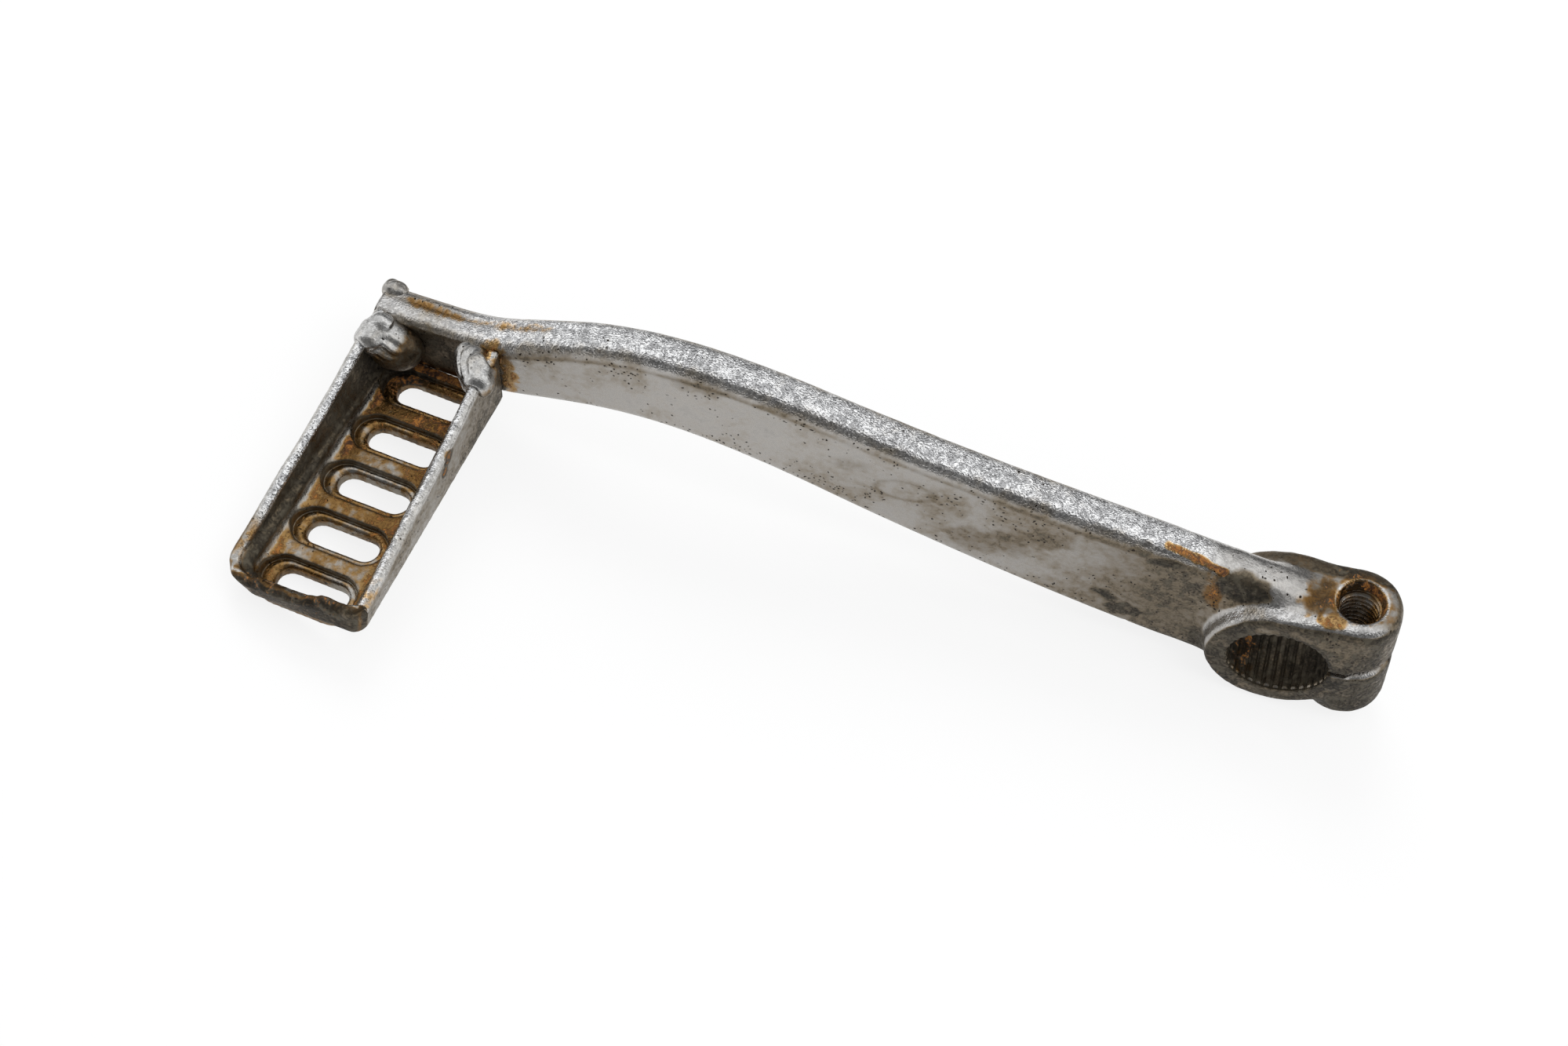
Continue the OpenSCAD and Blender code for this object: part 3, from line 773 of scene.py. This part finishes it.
outside = 1 - smooth_step(0.5, 0.9, from_wall)
on_rim = smooth_step(1.7, 0.5, wall_top - tray[:, 2])
at_slot = slot_distance(tray[:, 0], tray[:, 1], SLOT_LEN, SLOT_W, -PAD_W / 2 + SLOT_SHIFT)
at_recess = slot_distance(tray[:, 0], tray[:, 1], RECESS_LEN, RECESS_W, -PAD_W / 2)
on_ledge = inside * (1 - smooth_step(-0.25, 0.15, at_recess)) * smooth_step(0.3, 0.8, tray_out[:, 2])
on_ledge = on_ledge * (1 - smooth_step(1.3, 2.0, tray[:, 2]))
across = np.clip(at_slot / np.maximum(at_slot - at_recess, 0.5), 0, 1)
end_wall = smooth_step(PAD_LEN - 3.0, PAD_LEN - 1.4, v)
to_right = smooth_step(-14, -1, tray[:, 0])

# %% Its ledges crowned, its worn end bent and ragged
tray = tray.copy()
tray[:, 2] += 0.55 * on_ledge * np.sin(np.pi * across)
bent = end_wall * rise
tray[:, 1] += 1.6 * bent * to_right
ragged = noise(tray * [1, 0, 0], 2.6, 71) + 0.6 * noise(tray * [1, 0, 0], 1.1, 72)
notch = bell(tray[:, 0], -3.6, 1.7)
tray[:, 2] += end_wall * on_rim * (0.4 * ragged + 0.9 * to_right - 1.5 * notch)
tray[:, 1] += 0.35 * end_wall * on_rim * noise(tray * [1, 0, 0], 1.7, 74)
tray[:, 0] += 0.35 * (1 - end_wall) * on_rim * noise(tray * [0, 1, 0], 9, 75)
tray_points = from_pad(tray)
uneven = 0.05 * layered(tray_points, 3, 11) + 0.05 * layered(tray_points, 1, 12)
tray_points = tray_points + tray_out * uneven[:, None]

# %% The tray's regions, each a number from 0 to 1 on every point
x, y, z = tray.T
flat_floor = inside * smooth_step(0.7, 0.95, tray_out[:, 2]) * smooth_step(0.0, 0.3, at_recess)
flat_floor = flat_floor * (1 - on_rim) * (1 - smooth_step(3.0, 4.2, z))
near_arm = 1 - smooth_step(6, 44, v)
wall_in = inside * (1 - on_rim) * smooth_step(3.2, 4.4, z)
foot_line = inside * bell(from_wall, 4.2, 0.9) * smooth_step(-0.2, 0.4, at_recess)
# a dark line round each recess: dirt in its corner and the step's painted shadow
recess_line = inside * bell(at_recess, 0, 0.35) * (1 - smooth_step(2.8, 3.6, z))
slot_wall = (1 - smooth_step(0.1, 0.5, at_slot)) * (1 - smooth_step(0.4, 0.8, tray_out[:, 2]))
# painted shadow in the corner under the outer weld
shadow_under_weld = inside * (1 - smooth_step(1, 9, v)) * smooth_step(-11, -17, x)
worn_corner = smooth_step(PAD_LEN - 16, PAD_LEN - 8, v) * smooth_step(-12, -18, x)
rim_clean = on_rim * (1 - end_wall) * (1 - 0.6 * worn_corner)
pale_line = end_wall * on_rim * bell(from_wall, 1.8, 0.35)
pale_line = pale_line * smooth_step(-0.6, 0.2, noise(tray, 3, 77))
blotch = layered(tray_points, 5, 81)
RED_SPOTS = {
    "upper": Mark(1, (1, -20.7, 9.9), (1.6, 1.9, 1.9), 0.3),
    "lower": Mark(1, (0.9, -22.7, 7.7), (1.5, 1.5, 1.5), 0.3),
}
red_spots = marks(tray, RED_SPOTS)

# %% Where the tray is rusty, grimy and bright, with painted shadow in a corner and round the recesses
tray_rust = flat_floor * (0.43 + 0.24 * near_arm + 0.26 * blotch)
tray_rust += on_ledge * (0.42 + 0.12 * near_arm + 0.2 * blotch)
tray_rust += 0.3 * slot_wall + 0.1 * end_wall * (1 - outside) + 0.08 * wall_in + 0.3 * foot_line
rim_end = on_rim * smooth_step(PAD_LEN - 14, PAD_LEN - 6, v) * (1 - 0.8 * end_wall)
tray_rust += 0.36 * end_wall + 0.2 * rim_end + 0.68 * red_spots
tray_rust += 0.6 * near(tray, (0.9, -2.2, 13), (1.8, 2, 3))
tray_rust += 0.45 * inside * (1 - smooth_step(1.2, 3.2, v)) * smooth_step(-17, -12, x)
tray_rust = tray_rust * (1 - 0.85 * pale_line)
tray_grime_and_shade = 0.12 + 0.8 * wall_in + 0.5 * slot_wall + 0.5 * recess_line + 0.95 * shadow_under_weld
tray_grime_and_shade += (0.42 + 0.3 * blotch) * end_wall + 0.2 * on_ledge
tray_grime_and_shade += flat_floor * (0.28 + 0.25 * near_arm + 0.15 * blotch)
tray_grime_and_shade += outside * (0.44 + 0.34 * (1 - smooth_step(0, 20, v)))
tray_grime_and_shade = tray_grime_and_shade * (1 - 0.85 * rim_clean) + 0.3 * (on_rim - rim_clean) + 1.1 * red_spots
tray_grime_and_shade = tray_grime_and_shade * (1 - 0.9 * pale_line)
tray_bright = rim_clean * (0.25 + 0.6 * smooth_step(0.6, 1.3, from_wall)) + 0.4 * pale_line
tray_bright += 0.05 * outside + 0.12 * flat_floor + 0.1 * on_ledge
tray_pits = (0.55 * outside + 0.25 - 0.1 * flat_floor) * (1 - rim_clean)
tray_look = {"rust": tray_rust, "grime": tray_grime_and_shade, "bright": tray_bright, "pits": tray_pits}
make_piece("foot_tray", tray_points, tray_quads.tolist(), tray_look, "foot_pad")

# %% [markdown]
# ## The welds
# Weld metal lies in drops that run into one another. The solids hold the drops, and many
# rounds of smoothing melt them together. Smoothing shrinks a lump, so it is swelled again,
# and sine waves give it the folds that the metal made as it froze.

# %% The welds from their solids
WELD_TOP = Mark(0.9, (-22, -1.4, 14.2), (3, 3, 3), 0)
FOLD_REACH = (4, 4, 2.6)


def weld_lump(name, node, rounds, seed, fold_at, darkness, swell):
    """A re-meshed run of weld drops, melted together by smoothing and roughened by noise.

    The folds are sine waves that fade out round fold_at, a point in the tray's corner. All
    lumps are swollen by the same mound, WELD_TOP, which only the outer one reaches.
    """
    points, quads = remeshed(node, 0.2)
    points = melted(points, quads, np.ones(len(points)), rounds)
    normals = quad_normals(points, quads)
    local = pad_corner(points)
    wave = 4.6 * (local @ [0.4, 0.1, 0.9]) + 1.2 * noise(local, 2, seed + 7)
    folds = 0.25 * np.sin(wave) * near(local, fold_at, FOLD_REACH, 0.3)
    grain = swell + 0.16 * layered(points, 3.4, seed) + 0.015 * layered(points, 0.9, seed + 4)
    grain = grain + marks(local, {"top": WELD_TOP})
    points = points + normals * (grain + folds)[:, None]
    lean = local[:, 2] - 0.4 * (local[:, 0] - fold_at[0])
    low = smooth_step(12.6, 9.6, lean + 1.2 * noise(local, 3, seed + 2))
    # Low on a lump: more rust and soot, and darker. Higher up: brighter plate, partly a painted
    # highlight on the dome.
    look = {
        "rust": 0.03 + 0.24 * low,
        "grime": darkness + (0.8 - darkness) * low,
        "bright": 0.1 + 0.25 * (1 - low),
        "pits": 0 * low,
    }
    make_piece(name, points, quads.tolist(), look, node)


weld_lump("weld_outer_bead", "weld_outer", 70, 21, (-19.2, -6.4, 12), 0.08, 0.5)
weld_lump("weld_inner_bead", "weld_inner", 50, 31, (-3.4, -4.4, 15.6), 0.06, 0.45)
weld_lump("weld_back_bead", "weld_back", 30, 41, (-24, 9, 15), 0.4, 0.0)

# %% [markdown]
# ## The finish
# Chrome that has been ridden for years is several skins at once: bright plate, a brown film,
# black soot in the corners, dark pits and orange rust. The film and the soot also stand for
# painted shade where the grime mask holds it, and the bright plate's flecks are painted glints.
# Each is a mask, and the masks meet in one node group, so the arm, the tray and the welds can
# each be given their own share. The pieces say where a skin is likely, and noise in the group
# says where exactly it starts.

# %% Helpers that make one node each
def node_of(tree, kind, where, **sockets):
    """A node of a kind, with values on its inputs and a place in the editor."""
    made = tree.nodes.new(kind)
    made.location = where
    for name, value in sockets.items():
        made.inputs[name.replace("_", " ")].default_value = value
    return made


def feed(tree, value, socket):
    """Links another node's output to a socket, or sets a number or a colour on it."""
    if hasattr(value, "is_output"):
        tree.links.new(value, socket)
    elif isinstance(value, tuple):
        socket.default_value = (*value, 1)
    else:
        socket.default_value = value


def math_of(tree, operation, a, b, where, c=None):
    """A Math node whose inputs are numbers or other sockets."""
    made = node_of(tree, "ShaderNodeMath", where)
    made.operation = operation
    for value, socket in zip((a, b) if c is None else (a, b, c), made.inputs):
        feed(tree, value, socket)
    return made.outputs[0]


def ramp_of(tree, source, stops, where):
    """A colour ramp from (position, colour) stops."""
    made = node_of(tree, "ShaderNodeValToRGB", where)
    bar = made.color_ramp
    while len(bar.elements) < len(stops):
        bar.elements.new(0.5)
    for element, (place, colour) in zip(bar.elements, stops):
        element.position = place
        element.color = (*colour, 1)
    feed(tree, source, made.inputs[0])
    return made.outputs[0]


def mix_of(tree, factor, a, b, where, mode="MIX"):
    """A colour Mix node."""
    made = node_of(tree, "ShaderNodeMix", where)
    made.data_type = "RGBA"
    made.blend_type = mode
    for value, k in ((factor, 0), (a, 6), (b, 7)):
        feed(tree, value, made.inputs[k])
    return made.outputs[2]


def noise_of(tree, coords, scale, detail, where, kind="ShaderNodeTexNoise"):
    """A texture node on the given coordinates, with a scale per metre."""
    made = node_of(tree, kind, where, Scale=scale)
    if "Detail" in made.inputs:
        made.inputs["Detail"].default_value = detail
    feed(tree, coords, made.inputs["Vector"])
    return made


def grade_of(tree, value, low, high, where):
    """0 below low, 1 above high, a smooth step between: it turns soft noise into clear patches."""
    made = node_of(tree, "ShaderNodeMapRange", where, From_Min=low, From_Max=high)
    made.interpolation_type = "SMOOTHSTEP"
    feed(tree, value, made.inputs["Value"])
    return made.outputs[0]


def sum_of(tree, terms, where):
    """A weighted sum of (socket or number, weight) pairs, as a chain of Math nodes."""
    total = 0.0
    for k, (value, weight) in enumerate(terms):
        place = (where[0] + 150 * k, where[1])
        total = math_of(tree, "MULTIPLY_ADD", value, weight, place, total)
    return total


# %% The colours of the skins, as linear red, green and blue
CLEAN = (1.0, 1.0, 1.0)
FILM_AND_SHADE_BROWN = (0.4, 0.335, 0.245)
STAIN_GOLD = (0.9, 0.58, 0.25)
PIT_BLACK = (0.025, 0.018, 0.012)
# painted glints: where the plate is bright, its base colour flecks from grey to white
SPARKLE = [
    (0.0, (0.4, 0.4, 0.405)),
    (0.5, (0.66, 0.66, 0.67)),
    (0.8, (1.0, 1.0, 1.0)),
]
SOOT_AND_SHADE_BLACK = [
    (0.2, (0.018, 0.015, 0.01)),
    (0.6, (0.045, 0.036, 0.024)),
    (0.9, (0.1, 0.085, 0.06)),
]
RUST_ORANGE = [
    (0.2, (0.03, 0.012, 0.006)),
    (0.42, (0.085, 0.034, 0.012)),
    (0.62, (0.2, 0.08, 0.02)),
    (0.9, (0.38, 0.16, 0.034)),
]


# %% The group itself
def worn_plate_group():
    """Masks in; colour, roughness, metal share and bump height out."""
    tree = bpy.data.node_groups.new("worn_plate", "ShaderNodeTree")
    face = tree.interface
    face.new_socket("Coords", in_out="INPUT", socket_type="NodeSocketVector")
    for name in ("Rust", "Grime", "Bright", "Pits"):
        face.new_socket(name, in_out="INPUT", socket_type="NodeSocketFloat")
    face.new_socket("Plate", in_out="INPUT", socket_type="NodeSocketColor")
    face.new_socket("Color", in_out="OUTPUT", socket_type="NodeSocketColor")
    for name in ("Roughness", "Metallic", "Height"):
        face.new_socket(name, in_out="OUTPUT", socket_type="NodeSocketFloat")
    into = node_of(tree, "NodeGroupInput", (-2600, 0))
    done = node_of(tree, "NodeGroupOutput", (1800, 0))
    rust, grime, bright, pits = (into.outputs[name] for name in ("Rust", "Grime", "Bright", "Pits"))

    # the coordinates are swayed by noise, so that no edge of a patch runs straight
    sway = noise_of(tree, into.outputs["Coords"], 300, 3, (-2400, 400)).outputs["Color"]
    bend_by = node_of(tree, "ShaderNodeVectorMath", (-2200, 300))
    bend_by.operation = "MULTIPLY_ADD"
    bend_by.inputs[1].default_value = (0.002, 0.002, 0.002)
    tree.links.new(sway, bend_by.inputs[0])
    tree.links.new(into.outputs["Coords"], bend_by.inputs[2])
    at = bend_by.outputs[0]

    def spread(scale, detail, y):
        """Noise with its middle range stretched to 0 to 1."""
        soft = noise_of(tree, at, scale, detail, (-2000, y)).outputs[0]
        return grade_of(tree, soft, 0.3, 0.7, (-1800, y))

    def graded(terms, low, high, y):
        """A weighted sum, graded from low to high, on its own row in the editor."""
        return grade_of(tree, sum_of(tree, terms, (-1500, y)), low, high, (-800, y))

    broad = spread(110, 4, 600)
    fine = spread(620, 5, 400)
    grit = spread(2100, 3, 200)
    cells = noise_of(tree, at, 2900, 0, (-2000, 0), "ShaderNodeTexVoronoi")
    spots = noise_of(tree, at, 1350, 0, (-2000, -200), "ShaderNodeTexVoronoi")

    # masks: a thin film and thick soot from the grime, both also painted shade where the grime
    # mask holds it; a stain and a crust from the rust
    film_and_shade = graded([(grime, 1), (broad, 0.3), (fine, 0.2), (-0.25, 1)], 0.02, 0.7, 800)
    thick = [(grime, 1), (broad, 0.3), (fine, 0.4), (grit, 0.15), (-0.42, 1)]
    soot_and_shade = graded(thick, 0.55, 1.05, 650)
    has_rust = grade_of(tree, rust, 0.02, 0.16, (-1500, 550))
    stain = graded([(rust, 1), (broad, 0.35), (fine, 0.35), (-0.35, 1)], 0.08, 0.5, 500)
    stain = math_of(tree, "MULTIPLY", stain, has_rust, (-600, 500))
    scale = [(rust, 1), (broad, 0.35), (fine, 0.35), (grit, 0.3), (-0.5, 1)]
    crust = math_of(tree, "MULTIPLY", graded(scale, 0.56, 0.86, 350), has_rust, (-600, 350))

    # pits: cells with a random share of them dark in the middle, more where the mask says
    chosen = graded([(spots.outputs["Color"], 1), (broad, 0.4), (pits, 0.5)], 1.1, 1.22, -200)
    inward = math_of(tree, "SUBTRACT", 0.36, spots.outputs["Distance"], (-1500, -350))
    middle = grade_of(tree, inward, 0.0, 0.16, (-800, -350))
    dots = math_of(tree, "MULTIPLY", chosen, middle, (-600, -250))

    # colour, from the plate up: sparkle of painted glints, film, stain, soot, pits, crust;
    # the film and the soot also paint shade
    clouds = sum_of(tree, [(broad, 0.2), (fine, 0.16), (0.8, 1)], (-1500, 1000))
    plate = mix_of(tree, 1.0, into.outputs["Plate"], clouds, (-500, 1000), "MULTIPLY")
    flecks = graded([(fine, 0.35), (cells.outputs["Color"], 0.65)], 0.25, 0.75, 1150)
    plate = mix_of(tree, bright, plate, ramp_of(tree, flecks, SPARKLE, (-600, 1150)), (-300, 1000))
    thin = mix_of(tree, film_and_shade, CLEAN, FILM_AND_SHADE_BROWN, (-300, 800))
    plate = mix_of(tree, 1.0, plate, thin, (-100, 900), "MULTIPLY")
    gold = mix_of(tree, stain, CLEAN, STAIN_GOLD, (-300, 600))
    plate = mix_of(tree, 1.0, plate, gold, (100, 800), "MULTIPLY")
    plate = mix_of(tree, soot_and_shade, plate, ramp_of(tree, fine, SOOT_AND_SHADE_BLACK, (100, 600)), (400, 700))
    plate = mix_of(tree, dots, plate, PIT_BLACK, (600, 600))
    tone = sum_of(tree, [(grit, 0.4), (fine, 0.6)], (-100, 400))
    plate = mix_of(tree, crust, plate, ramp_of(tree, tone, RUST_ORANGE, (300, 400)), (800, 500))
    tree.links.new(plate, done.inputs["Color"])

    # shine, metal and relief
    shine = [(film_and_shade, 0.1), (soot_and_shade, 0.25), (crust, 0.35), (grit, 0.16), (bright, -0.06), (0.22, 1)]
    tree.links.new(sum_of(tree, shine, (400, 100)), done.inputs["Roughness"])
    metal = sum_of(tree, [(soot_and_shade, -0.45), (crust, -0.85), (1.0, 1)], (400, -100))
    metal = math_of(tree, "MAXIMUM", metal, 0.0, (1200, -100))
    tree.links.new(metal, done.inputs["Metallic"])
    cast = math_of(tree, "MULTIPLY", cells.outputs["Distance"], bright, (200, -300))
    flakes = math_of(tree, "MULTIPLY", crust, grit, (200, -450))
    relief = [(fine, 0.22), (grit, 0.1), (cast, 1.3), (flakes, 0.5), (crust, 0.3), (dots, -0.8)]
    tree.links.new(sum_of(tree, relief, (400, -350)), done.inputs["Height"])
    return tree


worn_plate = worn_plate_group()
print("node group with", len(worn_plate.nodes), "nodes")


# %% A material for each finish
def plate_material(name, plate, bump_mm):
    """Principled metal driven by the worn plate group and by the piece's four masks."""
    material = bpy.data.materials.new(name)
    material.use_nodes = True
    tree = material.node_tree
    shader = tree.nodes["Principled BSDF"]
    where = node_of(tree, "ShaderNodeTexCoord", (-900, 0))
    group = node_of(tree, "ShaderNodeGroup", (-400, 0))
    group.node_tree = worn_plate
    feed(tree, plate, group.inputs["Plate"])
    tree.links.new(where.outputs["Object"], group.inputs["Coords"])
    for k, mask in enumerate(("rust", "grime", "bright", "pits")):
        reader = node_of(tree, "ShaderNodeAttribute", (-900, -200 - 180 * k))
        reader.attribute_name = mask
        tree.links.new(reader.outputs["Fac"], group.inputs[mask.capitalize()])
    bump = node_of(tree, "ShaderNodeBump", (-180, -300), Strength=1.0, Distance=bump_mm / 1000)
    tree.links.new(group.outputs["Color"], shader.inputs["Base Color"])
    tree.links.new(group.outputs["Roughness"], shader.inputs["Roughness"])
    tree.links.new(group.outputs["Metallic"], shader.inputs["Metallic"])
    tree.links.new(group.outputs["Height"], bump.inputs["Height"])
    tree.links.new(bump.outputs["Normal"], shader.inputs["Normal"])
    return material


forged = plate_material("forged_chrome", (0.45, 0.43, 0.405), 0.1)
pressed = plate_material("tray_chrome", (0.42, 0.4, 0.365), 0.1)
welded = plate_material("weld_chrome", (0.44, 0.43, 0.41), 0.05)
FINISHES = {
    "arm_forging": forged,
    "clamp_eye": forged,
    "bore_serrations": forged,
    "bolt_thread": forged,
    "foot_tray": pressed,
    "weld_outer_bead": welded,
    "weld_inner_bead": welded,
    "weld_back_bead": welded,
}
for name, finish in FINISHES.items():
    bpy.data.objects[name].data.materials.append(finish)
print("finishes on", len(FINISHES), "pieces")

# %% [markdown]
# ## Floor and light
# The pedal lies on its side on a plain white table. Two large soft lamps and a plain world
# light it. Chrome shows what is round it more than its own colour, so for reflections alone
# the world has a bright strip, like a long window, which the ridge picks up.

# %% The floor, just under the lowest point of the solids and the pieces
lowest = min(corner[2] for corner in (*cad_box, *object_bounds()))
FLOOR_Z = lowest - 0.00005
print("floor at", round(FLOOR_Z * 1000, 2), "mm")
SIDE = 3.0
corners = [(x, y, FLOOR_Z) for x, y in ((-SIDE, -SIDE), (SIDE, -SIDE), (SIDE, SIDE), (-SIDE, SIDE))]
floor_mesh = bpy.data.meshes.new("floor")
floor_mesh.from_pydata(corners, [], [(0, 1, 2, 3)])
floor = bpy.data.objects.new("floor", floor_mesh)
bpy.context.scene.collection.objects.link(floor)
floor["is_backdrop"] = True
paper = bpy.data.materials.new("paper")
paper.use_nodes = True
paper_tree = paper.node_tree
paper_tree.nodes.remove(paper_tree.nodes["Principled BSDF"])
matte = node_of(paper_tree, "ShaderNodeBsdfDiffuse", (-300, 200), Color=(0.9, 0.9, 0.9, 1))
glow = node_of(paper_tree, "ShaderNodeEmission", (-300, 0), Color=(1, 1, 1, 1), Strength=1.0)
blend_in = node_of(paper_tree, "ShaderNodeMixShader", (0, 100))
path = node_of(paper_tree, "ShaderNodeLightPath", (-900, 0))
white_for = [(path.outputs["Is Camera Ray"], 0.82), (path.outputs["Is Glossy Ray"], 0.62)]
share = sum_of(paper_tree, white_for, (-500, 0))
paper_tree.links.new(share, blend_in.inputs[0])
paper_tree.links.new(matte.outputs[0], blend_in.inputs[1])
paper_tree.links.new(glow.outputs[0], blend_in.inputs[2])
paper_tree.links.new(blend_in.outputs[0], paper_tree.nodes["Material Output"].inputs[0])
floor.data.materials.append(paper)

# %% The world and the lamps
STRIP_SIDE = (0.0, -0.95, 0.31)
STRIP_LEVEL = 1.05
AROUND_LEVEL = 0.18
PLAIN_LEVEL = 0.65
world = bpy.data.worlds.new("studio")
bpy.context.scene.world = world
world.use_nodes = True
sky = world.node_tree
sky_light = sky.nodes["Background"]
sky_light.inputs[0].default_value = (0.98, 0.99, 1.0, 1)
sky_way = node_of(sky, "ShaderNodeTexCoord", (-1500, -200))
sky_dot = node_of(sky, "ShaderNodeVectorMath", (-1300, -200))
sky_dot.operation = "DOT_PRODUCT"
sky_dot.inputs[1].default_value = STRIP_SIDE
sky.links.new(sky_way.outputs["Generated"], sky_dot.inputs[0])
off_strip = math_of(sky, "ABSOLUTE", sky_dot.outputs["Value"], 0.0, (-1200, -350))
strip = grade_of(sky, off_strip, 0.66, 0.2, (-1000, -350))
sky_path = node_of(sky, "ShaderNodeLightPath", (-1100, 200))
is_glossy = sky_path.outputs["Is Glossy Ray"]
is_camera = sky_path.outputs["Is Camera Ray"]
mirror_level = sum_of(sky, [(strip, STRIP_LEVEL), (AROUND_LEVEL, 1)], (-900, -200))
mirror = math_of(sky, "MULTIPLY", is_glossy, mirror_level, (-500, -100))
plain = math_of(sky, "SUBTRACT", 1.0, is_glossy, (-700, 100))
levels_of = [(plain, PLAIN_LEVEL), (is_camera, 1 - PLAIN_LEVEL), (mirror, 1)]
sky.links.new(sum_of(sky, levels_of, (-500, 100)), sky_light.inputs[1])


def soft_lamp(name, at, aim, size, power):
    """A square area lamp at a place, turned towards a point."""
    lamp = bpy.data.lights.new(name, "AREA")
    lamp.size = size
    lamp.energy = power
    holder = bpy.data.objects.new(name, lamp)
    holder.location = at
    towards = np.array(aim) - np.array(at)
    tip = math.atan2(math.hypot(towards[0], towards[1]), -towards[2])
    holder.rotation_euler = (tip, 0, math.atan2(towards[1], towards[0]) - math.pi / 2)
    holder.visible_glossy = False
    bpy.context.scene.collection.objects.link(holder)


soft_lamp("window", (-0.5, 0.9, 1.1), (-0.08, 0, 0), 0.7, 9)
soft_lamp("ceiling", (0.4, -0.1, 1.3), (-0.08, 0, 0), 0.9, 6)

# %% View settings
bpy.context.scene.view_settings.view_transform = "Standard"
